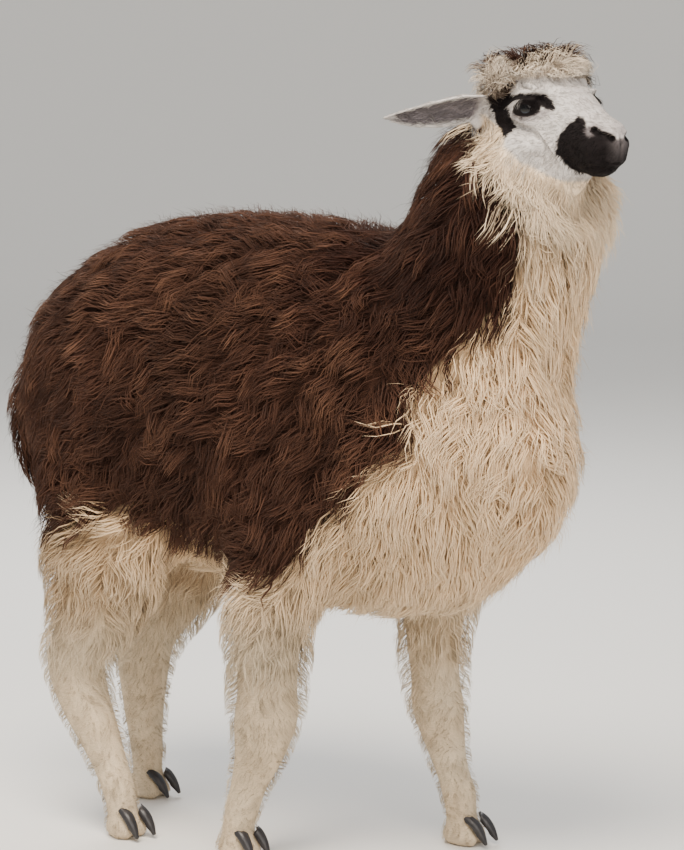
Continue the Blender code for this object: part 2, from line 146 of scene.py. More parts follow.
# Where it ends above, under the fringe: forward and height.
FRINGE = (
    (-0.11, 0.024), (-0.08, 0.032), (-0.050, 0.036), (-0.018, 0.042), (0.010, 0.044), (0.060, 0.034),
)
FACE_EDGE, FACE_RAG = 0.005, (0.003, 0.010, 5)
FRINGE_EDGE = (-0.004, 0.006)
JAW_EDGE, JAW_UP = (-0.112, -0.102), -0.107
FACE_RADIUS = 0.20
# The skull without its wool: forward, height of its middle, half width, half height.
SKULL = (
    (-0.118, -0.010, 0.052, 0.056), (-0.080, -0.012, 0.063, 0.072), (-0.040, -0.018, 0.063, 0.076),
    (0.000, -0.021, 0.060, 0.079), (0.035, -0.034, 0.055, 0.071), (0.060, -0.042, 0.048, 0.062),
    (0.090, -0.048, 0.043, 0.052),
)
# Where the skull's wool is looked for: off the eyes, at the rear, at the jowls and over the brow.
SKULL_OFF_EYE = (EYE_RADIUS + 0.004, EYE_RADIUS + 0.022)
SKULL_REAR = (0.030, -0.020)
SKULL_JOWL_UP, SKULL_JOWL_FORWARD = (0.010, -0.015), (0.095, 0.065)
SKULL_BROW = (0.026, 0.040)

# The dark marks of the face, as strokes in the head's side view: forward, up and half width.
EYE_STROKES = (
    ((-0.052, 0.027, 0.005), (-0.052, 0.015, 0.013), (-0.051, 0.000, 0.022),
     (-0.045, -0.018, 0.020), (-0.033, -0.033, 0.013), (-0.024, -0.043, 0.004)),
    ((-0.032, 0.006, 0.010), (-0.012, 0.010, 0.008), (0.008, 0.014, 0.008),
     (0.024, 0.012, 0.010), (0.038, 0.007, 0.009), (0.047, 0.001, 0.005)),
)
# The dark muzzle: its rear edge by height, and its upper edge along the nose.
MUZZLE_REAR = (
    (-0.110, 0.088), (-0.097, 0.074), (-0.087, 0.068), (-0.075, 0.064), (-0.067, 0.057),
    (-0.052, 0.058), (-0.037, 0.067), (-0.025, 0.080), (-0.012, 0.092),
)
MUZZLE_TOP = (
    (0.085, -0.010), (0.099, -0.013), (0.112, -0.026), (0.126, -0.027), (0.152, -0.040),
    (0.165, -0.050),
)
MUZZLE_RADIUS, MUZZLE_FLOOR = 0.19, -0.115
MARK_EDGE, MARK_RAG = (-0.002, 0.002), (0.0022, 0.006, 8)
EYE_MARK_INNER, EYE_MARK_OUTER = (0.020, 0.030), (0.080, 0.074)
LID_MARK, LID_RAG = (1.50, 1.36), 30  # in openings of the lids
# The nostril's slit, forward, out and up along its arch, and the way that it faces.
NOSTRIL = ((0.124, 0.026, -0.029), (0.134, 0.022, -0.037), (0.151, 0.013, -0.042))
NOSTRIL_FACING = (0.62, 0.62, 0.48)
NOSTRIL_HALF_WIDTH = 0.0042
NOSTRIL_REACH = 0.035
NOSE_FROM = 0.10  # how far forward the nose starts

# Each ear's base, tip and the way that its cup opens, in the head's axes.
EARS = {
    "right": ((-0.066, -0.056, 0.010), (-0.142, -0.210, -0.018), (0.7, -0.3, -0.55)),
    "left": ((-0.066, 0.056, 0.010), (-0.206, 0.152, -0.024), (0.6, 0.5, -0.45)),
}
EAR_HALF_WIDTH = 0.027
EAR_CUP = 0.013
EAR_BOW = 0.010  # how far an ear's middle bows the way that its cup opens
EAR_REACH = 0.020  # how far off its sheet a place still counts as ear
EAR_RUN = (0.10, 0.20, 1.15)  # as shares of its length: where it starts, is whole, and ends
EAR_TAPER, EAR_TIP, EAR_ROUND = (0.20, 0.79), 0.08, 0.8  # its outline, as a power of half a sine
EAR_PAST = 1.4  # how far across a place still counts, in half widths
EAR_CUP_EDGES = ((0.0005, 0.0025), (0.86, 0.62), (0.97, 0.80))  # in height, across and along


def linear(code):
    """An sRGB hex colour in Blender's linear light."""
    parts = [int(code[i:i + 2], 16) / 255 for i in (1, 3, 5)]
    return tuple(c / 12.92 if c <= 0.04045 else ((c + 0.055) / 1.055) ** 2.4 for c in parts)


def colour_property(name, description, code):
    return FloatVectorProperty(
        name=name, description=description, subtype="COLOR", size=3, min=0.0, max=1.0,
        default=linear(code),
    )


def length_property(name, description, metres):
    return FloatProperty(
        name=name, description=description, default=metres, min=0.0, unit="LENGTH",
        subtype="DISTANCE", precision=4,
    )


class AlpacaSizes(bpy.types.PropertyGroup):
    """Sizes of the skin and of the locks of wool and hair."""

    skin_grain: length_property("Skin grain", "Spacing of the skin's points under the wool", 0.009)
    head_grain: length_property("Head grain", "Spacing of the skin's points on the head", 0.0019)
    fleece_length: length_property("Fleece length", "Lock length on the back and flanks", 0.070)
    fleece_width: length_property("Fleece width", "Half width of a lock on the back", 0.0013)
    chest_length: length_property("Chest hair", "Lock length on the chest and throat", 0.095)
    leg_length: length_property("Leg hair", "Lock length on the upper legs", 0.055)
    crown_length: length_property("Topknot", "Lock length on the crown", 0.050)
    face_length: length_property("Face hair", "Tuft length on the face", 0.0075)
    seed: IntProperty(name="Seed", description="Starts the random draws", default=11, min=0)


class AlpacaColours(bpy.types.PropertyGroup):
    """Colours of the coat, the bare skin, the eyes, the toenails and the floor."""

    # Painted shade: the brown wool darkened deep inside the coat, near the skin.
    shaded_brown_root: colour_property("Brown roots", "The saddle's wool near the skin", "#1f120d")
    brown_wool: colour_property("Brown wool", "The saddle of the back and neck", "#412a20")
    # Blended in by sun bleaching and by painted light on upward-facing and high tufts.
    brown_tip: colour_property("Bleached tips", "Sun-bleached ends of the brown wool", "#7d5a45")
    neck_wool: colour_property("Neck wool", "The darker wool of the neck", "#2f1b14")
    cream_wool: colour_property("Cream wool", "The chest and belly", "#f0cda2")
    cream_tip: colour_property("Cream tips", "Ends of the pale wool", "#f2e1c6")
    leg_wool: colour_property("Leg wool", "The legs", "#d2c0a4")
    knee_wool: colour_property("Knee wool", "Stained wool of knees and hocks", "#b29470")
    face_hair: colour_property("Face hair", "The short pale hair of the face", "#c6c1bd")
    # The face's black marks, also used as the painted shade inside the nostrils.
    black_marks_and_nostril_shade: colour_property("Dark marks", "The face's black marks", "#110c0d")
    # The nose's grey skin, also used as the painted shade down the bridge of the nose.
    nose_skin_and_bridge_shade: colour_property("Nose skin", "Grey skin round the nostrils and lips", "#8f8788")
    ear_skin: colour_property("Ear skin", "The inside of the ears", "#5d565b")
    iris: colour_property("Iris", "The eye's slate iris", "#2b3440")
    toenail: colour_property("Toenail", "The black toenails", "#171416")
    floor: colour_property("Floor", "The studio's paper", "#dedcd8")


def smoothstep(low, high, value):
    t = np.clip((value - low) / (high - low), 0.0, 1.0)
    return t * t * (3 - 2 * t)


def blend(first, second, share):
    """Rows of colours or places, mixed by a share for each row."""
    share = np.asarray(share)[..., None]
    return np.asarray(first) * (1 - share) + np.asarray(second) * share


def unit(rows):
    return rows / np.maximum(np.linalg.norm(rows, axis=-1, keepdims=True), 1e-9)


def dot(first, second):
    return (first * second).sum(axis=-1, keepdims=True)


def ripple(points, size, seed):
    """Smooth noise, mostly within -1 and 1, in blobs of about this size. It repeats exactly."""
    waves = np.random.default_rng(seed)
    total = np.zeros(len(points))
    for _ in range(8):
        way = unit(waves.normal(size=3))
        length = 2 * size * waves.uniform(0.7, 1.6)
        total += np.sin(points @ way * (2 * math.pi / length) + waves.uniform(0, 2 * math.pi))
    return total / 4.0


def rag(points, height, size, seed):
    return height * ripple(points, size, seed)


def in_head(points):
    """Places in the head's own axes: forward, left, up."""
    return (points - np.array(HEAD_MIDDLE)) @ HEAD_AXES.T


# The opening of the lids: half width, half height, and the way that it faces in the head's axes.
LID_OPENING = (0.0195, 0.0098)
LID_COVER = 0.0030  # thickness of the lids over the eyeball
NO_RING = 9.0  # far from any lid
LOOK = Vector((0.50, 0.86, 0.00)).normalized()
GAZE = Vector((0.66, 0.75, -0.03)).normalized()
HOOD = ((0.0, 0.0175, 0.0125), (0.0225, 0.0065, 0.0052))  # the fold over the eye: place and radii
MOUTH_HEIGHT = -0.0775
# What closes the solids' mouth and nostrils, which are modelled finer here: place and radii.
FILLS = (
    ((0.114, 0.0, MOUTH_HEIGHT), (0.030, 0.0265, 0.007)),
    ((0.139, 0.0170, -0.0360), (0.0120, 0.0095, 0.0070)),
    ((0.139, -0.0170, -0.0360), (0.0120, 0.0095, 0.0070)),
)


def place_on_head(forward, left, up):
    return HEAD_MIDDLE + head_vector(forward, left, up)


def head_turn():
    return Matrix((HEAD_FORWARD, HEAD_LEFT, UP)).transposed().to_4x4()


def head_vector(forward, left, up):
    return HEAD_FORWARD * forward + HEAD_LEFT * left + UP * up


def eye_turn(side, look=LOOK):
    """Turns X along the lids, Y out of the eye and Z up."""
    out = head_vector(look.x, side * look.y, look.z).normalized()
    along = (HEAD_FORWARD - out * out.dot(HEAD_FORWARD)).normalized()
    up = side * along.cross(out)
    return Matrix((along, out, up)).transposed().to_4x4()


def edge_at(rows, at):
    rows = np.array(rows)
    return np.interp(at, rows[:, 0], rows[:, 1])


def ear_shares(points):
    """1 on the ears, and 1 on the grey inside of their cups."""
    head = in_head(points)
    on_ear, inside = np.zeros(len(points)), np.zeros(len(points))
    for base, tip, opening in EARS.values():
        base, run = np.array(base), np.array(tip) - np.array(base)
        along = unit(run)
        facing = unit(np.array(opening) - along * (along @ np.array(opening)))
        sideways = np.cross(along, facing)
        t = (head - base) @ run / (run @ run)
        held = np.clip(t, 0, 1)
        middle = base + held[:, None] * run + facing * (EAR_BOW * np.sin(np.pi * held))[:, None]
        taper = np.sin(np.pi * (EAR_TAPER[0] + EAR_TAPER[1] * held))
        half = EAR_HALF_WIDTH * np.maximum(taper, EAR_TIP) ** EAR_ROUND
        off = head - middle
        across = off @ sideways / half
        height = off @ facing + EAR_CUP * half / EAR_HALF_WIDTH * (1 - across ** 2)
        near = np.linalg.norm(off - across[:, None] * half[:, None] * sideways, axis=1)
        here = smoothstep(*EAR_RUN[:2], t) * (near < EAR_REACH) * (np.abs(across) < EAR_PAST)
        here = here * (t < EAR_RUN[2])
        on_ear = np.maximum(on_ear, here)
        cup = smoothstep(*EAR_CUP_EDGES[0], height) * smoothstep(*EAR_CUP_EDGES[1], np.abs(across))
        inside = np.maximum(inside, here * (cup * smoothstep(*EAR_CUP_EDGES[2], t)))
    return on_ear, inside


def brown_share(points):
    """1 on the brown saddle, neck and crown, 0 on the pale wool, with a ragged edge between."""
    x, z = points[:, 0], points[:, 2]
    ragged = sum(rag(points, *row) for row in SADDLE_RAGS)
    above = smoothstep(*SADDLE_EDGE, z + ragged - edge_at(SADDLE_LOW, x))
    behind = smoothstep(*SADDLE_EDGE, edge_at(SADDLE_FRONT, z) + ragged - x)
    body = above * behind
    forward, left, up = in_head(points).T
    to_middle = np.maximum(CROWN_HALF_WIDTH - np.abs(left), 0.0)
    behind_fringe = up - CROWN_FRINGE_UP - CROWN_FRINGE_SLOPE * (forward + CROWN_FRINGE_BACK)
    above_temples = up - CROWN_TEMPLE_UP + CROWN_TEMPLE_SLOPE * to_middle
    before_nape = forward + CROWN_NAPE_BACK + CROWN_NAPE_SLOPE * to_middle
    crown = np.minimum.reduce([behind_fringe, above_temples, before_nape])
    crown = smoothstep(*SADDLE_EDGE, crown + CROWN_RAG * ragged)
    on_head = smoothstep(*HEAD_ABOVE_NECK, up)
    body = body * smoothstep(*BROWN_OFF_FACE, off_face(points))
    share = np.maximum(body * (1 - on_head), crown * on_head * (forward < CROWN_FRONT))
    return share * (1 - ear_shares(points)[0])


def bare_face_share(points):
    """1 on the short-haired face, 0 on the wool of the crown, cheeks and throat."""
    head = in_head(points)
    x, z = head[:, 0], head[:, 2]
    rear = edge_at(FACE_REAR, z)
    ahead = smoothstep(rear - FACE_EDGE, rear + FACE_EDGE, x + rag(points, *FACE_RAG))
    below_crown = 1 - smoothstep(*FRINGE_EDGE, z - edge_at(FRINGE, x))
    near = np.linalg.norm(head, axis=1) < FACE_RADIUS
    return ahead * below_crown * smoothstep(*JAW_EDGE, z) * near


def off_face(points):
    """How far each place lies behind or below the short-haired face; below zero on it."""
    head = in_head(points)
    return np.maximum(edge_at(FACE_REAR, head[:, 2]) - head[:, 0], JAW_UP - head[:, 2])


def skull_excess(points):
    """How far each place stands off the skull, where the solids hold a depth of wool."""
    head = in_head(points)
    rows = np.array(SKULL)
    middle, wide, high = (np.interp(head[:, 0], rows[:, 0], rows[:, k]) for k in (1, 2, 3))
    out = np.hypot(head[:, 1] / wide, (head[:, 2] - middle) / high)
    to_eye = np.minimum(*(np.linalg.norm(points - np.array(EYES[word]), axis=1) for word in EYES))
    rear = smoothstep(*SKULL_REAR, head[:, 0])
    jowl = smoothstep(*SKULL_JOWL_UP, head[:, 2]) * smoothstep(*SKULL_JOWL_FORWARD, head[:, 0])
    brow = smoothstep(*SKULL_BROW, head[:, 2])
    where = np.maximum.reduce([rear, jowl, brow])
    return (out - 1) * (wide + high) / 2 * where * smoothstep(*SKULL_OFF_EYE, to_eye)


def off_skull_axis(points):
    """The way from the skull's axis out to each place."""
    head = in_head(points)
    rows = np.array(SKULL)
    across = head.copy()
    across[:, 0] = 0.0
    across[:, 2] -= np.interp(head[:, 0], rows[:, 0], rows[:, 1])
    return unit(across) @ HEAD_AXES


def in_eye(points, side, word, look=LOOK):
    """Places from the middle of an eye: along its lids, out of it and up."""
    return (points - np.array(EYES[word])) @ np.array(eye_turn(side, look).to_3x3())


def lid_rings(points):
    """How many openings out from the middle of the nearest lids each place lies, and how high."""
    ring, height = np.full(len(points), NO_RING), np.zeros(len(points))
    for side, word in SIDES:
        local = in_eye(points, side, word)
        here = np.hypot(local[:, 0] / LID_OPENING[0], local[:, 2] / LID_OPENING[1])
        here = np.where(local[:, 1] > 0, here, NO_RING)
        ring, height = np.where(here < ring, (here, local[:, 2]), (ring, height))
    return ring, height


def stroke_depth(side_view, strokes):
    """How far each place lies outside the strokes; below zero inside them."""
    best = np.full(len(side_view), 1.0)
    for stroke in strokes:
        for start, stop in zip(stroke, stroke[1:]):
            start, stop = np.array(start), np.array(stop)
            run = stop[:2] - start[:2]
            t = np.clip((side_view - start[:2]) @ run / (run @ run), 0, 1)
            away = np.linalg.norm(side_view - start[:2] - t[:, None] * run, axis=1)
            best = np.minimum(best, away - (start[2] + (stop[2] - start[2]) * t))
    return best


def dark_face_share(points):
    """1 on the black marks round the eyes and on the muzzle."""
    head = in_head(points)
    forward, left, up = head.T
    ragged = rag(points, *MARK_RAG)
    eye_mark = smoothstep(*MARK_EDGE[::-1], stroke_depth(head[:, [0, 2]], EYE_STROKES) + ragged)
    eye_mark = eye_mark * smoothstep(*EYE_MARK_INNER, np.abs(left))
    eye_mark = eye_mark * smoothstep(*EYE_MARK_OUTER, np.abs(left))
    rear = smoothstep(*MARK_EDGE, forward - edge_at(MUZZLE_REAR, up) + ragged)
    below = smoothstep(*MARK_EDGE, edge_at(MUZZLE_TOP, forward) - up + ragged)
    near = (np.linalg.norm(head, axis=1) < MUZZLE_RADIUS) & (up > MUZZLE_FLOOR)
    lids = smoothstep(*LID_MARK, lid_rings(points)[0] + LID_RAG * ragged)
    return np.maximum(np.maximum(eye_mark, lids), rear * below * near)


# Tints of the pale wool: heights or places where each starts and is whole, and how strong it is.
BELLY_ABOVE_LEGS = (0.34, 0.52)
THROAT_UP, THROAT_TINT = (0.90, 1.05), 0.6
CROWN_UP, CROWN_TINT = (-0.01, 0.03), 0.45
PATCH_RAG, PATCH_TINT = (0.5, 0.06, 21), 0.22
KNEE_UP, KNEE_SIZE, KNEE_FORWARD, KNEE_TINT = 0.335, 0.045, (0.05, 0.15), 0.45
THIGH_UP, THIGH_DOWN, THIGH_BACK, THIGH_TINT = (0.30, 0.42), (0.56, 0.48), (-0.15, -0.25), 0.80


def pale_colour(points, colours):
    """The cream and beige of everything that isn't brown or face."""
    x, z = points[:, 0], points[:, 2]
    cream = blend(colours.leg_wool, colours.cream_wool, smoothstep(*BELLY_ABOVE_LEGS, z))
    throat = smoothstep(*THROAT_UP, z)
    cream = blend(cream, colours.cream_tip, THROAT_TINT * throat)
    cream = blend(cream, colours.face_hair, CROWN_TINT * smoothstep(*CROWN_UP, in_head(points)[:, 2]))
    patchy = 0.5 + rag(points, *PATCH_RAG)
    cream = blend(cream, colours.knee_wool, PATCH_TINT * np.clip(patchy, 0, 1) * (1 - throat))
    knee = bump(z, KNEE_UP, KNEE_SIZE) * smoothstep(*KNEE_FORWARD, x)
    thigh = smoothstep(*THIGH_UP, z) * smoothstep(*THIGH_DOWN, z) * smoothstep(*THIGH_BACK, x)
    return blend(cream, colours.knee_wool, np.maximum(KNEE_TINT * knee, THIGH_TINT * thigh))


def nostril_depth(points):
    """How far each place lies from the nearer nostril's middle line, over the nose's surface."""
    head = in_head(points)
    head[:, 1] = np.abs(head[:, 1])
    facing = unit(np.array(NOSTRIL_FACING))
    line = np.array(NOSTRIL)
    far = np.linalg.norm(head - line[1], axis=1) > NOSTRIL_REACH
    head, line = head - dot(head, facing) * facing, line - dot(line, facing) * facing
    best = np.full(len(points), 1.0)
    for start, stop in zip(line, line[1:]):
        run = stop - start
        t = np.clip((head - start) @ run / (run @ run), 0, 1)
        best = np.minimum(best, np.linalg.norm(head - start - t[:, None] * run, axis=1))
    return np.where(far, 1.0, best)


NECK_UP, NECK_FORWARD = (0.72, 0.95), 0.1
FACE_MARKED = (0.1, 0.4)
LIPS_FORWARD, LIPS_UP, LIPS_ASIDE = (0.130, 0.156), (-0.090, -0.030), (0.024, 0.002)
LIPS_FLOOR, LIPS_TINT = -0.11, 0.40
# Painted shade on the bridge of the nose: where it starts forward, aside and up, and how strong it
# is. Then the face's grey mottling.
BRIDGE_SHADE_FORWARD, BRIDGE_SHADE_ASIDE, BRIDGE_SHADE_UP = (0.020, 0.060), (0.034, 0.012), (-0.050, -0.030)
BRIDGE_SHADE_TINT, MOTTLE_TINT, MOTTLE_RAG = 0.30, 0.16, (0.5, 0.012, 23)
BAG_OUTER, BAG_INNER, BAG_DOWN, BAG_TINT = (2.6, 2.0), (1.25, 1.5), (0.0, -0.006), 0.65
RIM_OUT, RIM_UP, RIM_TINT = (0.015, 0.008), (-0.040, -0.031), 0.60
RIM_SLOPE, RIM_START = 0.5, 0.13  # the nostril's grey rim sinks forwards from here
# Painted shade inside the nostrils' slits: where it is whole and where it ends.
NOSTRIL_SHADE = (0.0070, 0.0048)
EAR_TINT = 0.9


def colour_and_painted_shading(points, colours):
    """The animal's colour at each place of its skin, with painted shade on the nose's bridge and in
    the nostrils: the coat's roots take it too.
    """
    on_neck = smoothstep(*NECK_UP, points[:, 2]) * (points[:, 0] > NECK_FORWARD)
    brown = blend(colours.brown_wool, colours.neck_wool, on_neck)
    shade = blend(pale_colour(points, colours), brown, brown_share(points))
    on_ear, inside = ear_shares(points)
    face, dark = bare_face_share(points), dark_face_share(points)
    shade = blend(shade, colours.face_hair, np.maximum(face, on_ear))
    shade = blend(shade, colours.ear_skin, EAR_TINT * inside)
    shade = blend(shade, colours.black_marks_and_nostril_shade, dark * smoothstep(*FACE_MARKED, face))
    forward, left, up = in_head(points).T
    lips = smoothstep(*LIPS_FORWARD, forward) * smoothstep(*LIPS_UP, up)
    lips = lips * smoothstep(*LIPS_ASIDE, np.abs(left)) * (up > LIPS_FLOOR)
    # Painted shade down the bridge of the nose, in the grey of the nose's skin.
    bridge_shade = smoothstep(*BRIDGE_SHADE_FORWARD, forward) * smoothstep(*BRIDGE_SHADE_ASIDE, np.abs(left))
    bridge_shade = bridge_shade * smoothstep(*BRIDGE_SHADE_UP, up)
    mottled = 0.5 + rag(points, *MOTTLE_RAG)
    ring, height = lid_rings(points)
    bag = smoothstep(*BAG_OUTER, ring) * smoothstep(*BAG_INNER, ring) * smoothstep(*BAG_DOWN, height)
    nostril = nostril_depth(points)
    rim = smoothstep(*RIM_OUT, nostril) * smoothstep(*RIM_UP, up + RIM_SLOPE * (RIM_START - forward))
    grey = np.maximum.reduce([LIPS_TINT * lips, BAG_TINT * bag, RIM_TINT * rim])
    shade = blend(shade, colours.nose_skin_and_bridge_shade, grey)
    # Painted shade on the bridge of the nose, and the face's grey mottling, off the dark marks.
    grey = (BRIDGE_SHADE_TINT * bridge_shade + MOTTLE_TINT * mottled * face) * (1 - dark)
    shade = blend(shade, colours.nose_skin_and_bridge_shade, grey)
    # Painted shade inside the nostrils' slits, in the black of the face's marks.
    return blend(shade, colours.black_marks_and_nostril_shade, smoothstep(*NOSTRIL_SHADE, nostril) * (forward > NOSE_FROM))


# ---------------------------------------------------------------- meshes


def arrays_of(mesh):
    """Places, triangles, vertex normals and edges of a mesh as arrays."""
    mesh.calc_loop_triangles()
    points = np.empty(len(mesh.vertices) * 3)
    mesh.vertices.foreach_get("co", points)
    normals = np.empty(len(mesh.vertices) * 3)
    mesh.vertices.foreach_get("normal", normals)
    faces = np.empty(len(mesh.loop_triangles) * 3, np.int32)
    mesh.loop_triangles.foreach_get("vertices", faces)
    edges = np.empty(len(mesh.edges) * 2, np.int32)
    mesh.edges.foreach_get("vertices", edges)
    return points.reshape(-1, 3), faces.reshape(-1, 3), normals.reshape(-1, 3), edges.reshape(-1, 2)


def set_points(mesh, points):
    mesh.vertices.foreach_set("co", np.ascontiguousarray(points, np.float32).ravel())
    mesh.update()


def bump(value, middle, width):
    return np.exp(-((value - middle) / width) ** 2)


def evened(values, edges, rounds, share=0.5):
    """Values on a mesh's vertices, drawn towards the mean of their neighbours."""
    values = np.array(values, float)
    columns = values.reshape(len(values), -1)
    ends = np.concatenate([edges[:, 0], edges[:, 1]])
    others = np.concatenate([edges[:, 1], edges[:, 0]])
    count = np.maximum(np.bincount(ends, minlength=len(values)), 1)
    for _ in range(rounds):
        for c in range(columns.shape[1]):
            mean = np.bincount(ends, columns[others, c], len(values)) / count
            columns[:, c] += share * (mean - columns[:, c])
    return columns.reshape(values.shape)


def new_piece(name, mesh):
    made = bpy.data.objects.new(name, mesh)
    bpy.context.scene.collection.objects.link(made)
    return made


@contextmanager
def edited(mesh):
    """Opens a mesh for editing and writes it back."""
    form = bmesh.new()
    form.from_mesh(mesh)
    yield form
    form.to_mesh(mesh)
    form.free()


def joined(name, meshes):
    """One piece of several meshes, welded where their points meet."""
    whole = bpy.data.meshes.new(name)
    with edited(whole) as form:
        for mesh in meshes:
            form.from_mesh(mesh)
        bmesh.ops.remove_doubles(form, verts=form.verts, dist=0.01 * MM)
    return new_piece(name, whole)


def with_modifiers_applied(obj):
    graph = bpy.context.evaluated_depsgraph_get()
    mesh = bpy.data.meshes.new_from_object(obj.evaluated_get(graph))
    obj.modifiers.clear()
    old, obj.data = obj.data, mesh
    bpy.data.meshes.remove(old)
    return obj


def remeshed(obj, grain, rounds):
    """One closed surface round overlapping closed solids, softened."""
    weld = obj.modifiers.new("weld", "REMESH")
    weld.mode, weld.voxel_size = "VOXEL", grain
    soften = obj.modifiers.new("soften", "SMOOTH")
    soften.factor, soften.iterations = 0.5, rounds
    return largest_body(with_modifiers_applied(obj))


def largest_body(obj):
    """Drops what a cut or a weld left inside or beside the main body."""
    with edited(obj.data) as form:
        left, bodies = set(form.verts), []
        while left:
            front, body = [left.pop()], []
            while front:
                vertex = front.pop()
                body.append(vertex)
                near = {edge.other_vert(vertex) for edge in vertex.link_edges} & left
                left -= near
                front += near
            bodies.append(body)
        for body in sorted(bodies, key=len)[:-1]:
            bmesh.ops.delete(form, geom=body, context="VERTS")
    return obj


DEEP, SOFTENING = 0.012, 0.6  # from this depth on, a sunk surface is softened by this share


def sunk(obj, depths, steps, rounds, inward=None):
    """Moves a surface in by a depth for each vertex, in small even steps.

    It goes against its normals, or towards the skull's axis as far as inward says.
    """
    deep = np.minimum(depths / DEEP, 1.0)
    for _ in range(steps):
        points, _, normals, edges = arrays_of(obj.data)
        normals = unit(blend(normals, unit(evened(normals, edges, rounds)), deep))
        ways = normals if inward is None else unit(blend(normals, off_skull_axis(points), inward))
        points = points - ways * (depths / steps)[:, None]
        set_points(obj.data, blend(points, evened(points, edges, rounds), SOFTENING * deep))
    return obj


def outer_shell(nodes):
    """The outer faces of CAD nodes as arrays, and the node of each triangle."""
    places, faces, owners, count = [], [], [], 0
    for name in nodes:
        points, triangles, _, _ = arrays_of(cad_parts[name].data)
        faces.append(triangles + count)
        places.append(points)
        count += len(points)
        owners += [name] * len(triangles)
    places, faces = np.concatenate(places), np.concatenate(faces)
    tree = BVHTree.FromPolygons(places.tolist(), faces.tolist(), all_triangles=True)
    # Where two nodes meet, each one's cut face looks straight at the other's: those aren't outside.
    corners = places[faces]
    middles = corners.mean(axis=1)
    out = unit(np.cross(corners[:, 1] - corners[:, 0], corners[:, 2] - corners[:, 0]))
    starts = middles + out * 0.02 * MM
    hits = [tree.ray_cast(p, n, CUT_GAP)[0] for p, n in zip(starts.tolist(), out.tolist())]
    outer = np.array([hit is None for hit in hits])
    return places, faces[outer], np.array(owners)[outer]


def cad_surface(nodes):
    """A search tree over the outer faces of CAD nodes, and the node of each of its triangles."""
    places, faces, owners = outer_shell(nodes)
    return BVHTree.FromPolygons(places.tolist(), faces.tolist(), all_triangles=True), owners


def shell_mesh(nodes):
    """The outer faces of CAD nodes as one mesh."""
    places, faces, _ = outer_shell(nodes)
    mesh = bpy.data.meshes.new("shell")
    mesh.from_pydata(places.tolist(), [], faces.tolist())
    return mesh


def nearest_nodes(points, tree, owners):
    """The CAD node whose surface is nearest, and how far it is, for each place."""
    found = [tree.find_nearest(point) for point in points.tolist()]
    return np.array([owners[f[2]] for f in found]), np.array([f[3] for f in found])


def depth_of(name):
    for word, depth in COAT_DEPTH.items():
        if word in name:
            return depth
    raise ValueError(f"no coat depth for {name}")


def ball(middle, radii, turn=Matrix.Identity(4), segments=48):
    mesh = bpy.data.meshes.new("ball")
    place = Matrix.Translation(middle) @ turn @ Matrix.Diagonal((*radii, 1.0))
    with edited(mesh) as form:
        bmesh.ops.create_uvsphere(form, u_segments=segments, v_segments=segments // 2, radius=1.0)
        bmesh.ops.transform(form, matrix=place, verts=form.verts)
    return new_piece("ball", mesh)


def combined(obj, other, operation):
    cut = obj.modifiers.new("cut", "BOOLEAN")
    cut.operation, cut.solver, cut.object = operation, "MANIFOLD", other
    with_modifiers_applied(obj)
    bpy.data.objects.remove(other)
    return obj


# ---------------------------------------------------------------- skin

ALMOND_OUT, ALMOND_DEPTH = 0.001, 0.012  # the lids' opening: how far out of the ball, and how deep


def lid_solid(side, eye):
    """A full ball over the eye, with the almond between the lids cut out of it."""
    cover = ball(eye, [EYE_RADIUS + LID_COVER] * 3)
    turn = eye_turn(side)
    out = turn.to_3x3() @ Vector((0, 1, 0))
    opening = (LID_OPENING[0], ALMOND_DEPTH, LID_OPENING[1])
    combined(cover, ball(eye + out * (EYE_RADIUS + ALMOND_OUT), opening, turn), "DIFFERENCE")
    return combined(cover, ball(eye + turn.to_3x3() @ Vector(HOOD[0]), HOOD[1], turn), "UNION")


# Folds round the lids: place and width in openings of the lids, height, and 1 above or -1 below.
LID_FOLDS = ((1.22, 0.16, 0.0012, 0), (1.75, 0.16, -0.0016, 1), (1.9, 0.25, -0.0008, -1))
LID_FOLDS_FROM = 0.25  # how far out of the eye they start, in its radii
# The fold behind the lips: its line, its width and depth, and where it fades.
CHEEK_DOWN, CHEEK_SLOPE, CHEEK_START = 0.060, 0.35, 0.10
CHEEK_WIDTH, CHEEK_DEPTH, CHEEK_ASIDE = 0.003, 0.0012, 0.01
CHEEK_FORWARD, CHEEK_BACK = (0.055, 0.075), (0.120, 0.105)
# The split of the upper lip, and the hollow of the cheek in front of the eye.
SPLIT_WIDTH, SPLIT_DEPTH, SPLIT_FORWARD, SPLIT_UP = 0.0022, 0.0035, (0.128, 0.140), (-0.030, -0.045)
SPLIT_FLOOR = -0.075
HOLLOW, HOLLOW_DEPTH, HOLLOW_ASIDE = ((0.050, 0.022), (-0.030, 0.013)), 0.0020, 0.02
NOSTRIL_DEPTH = 0.0060


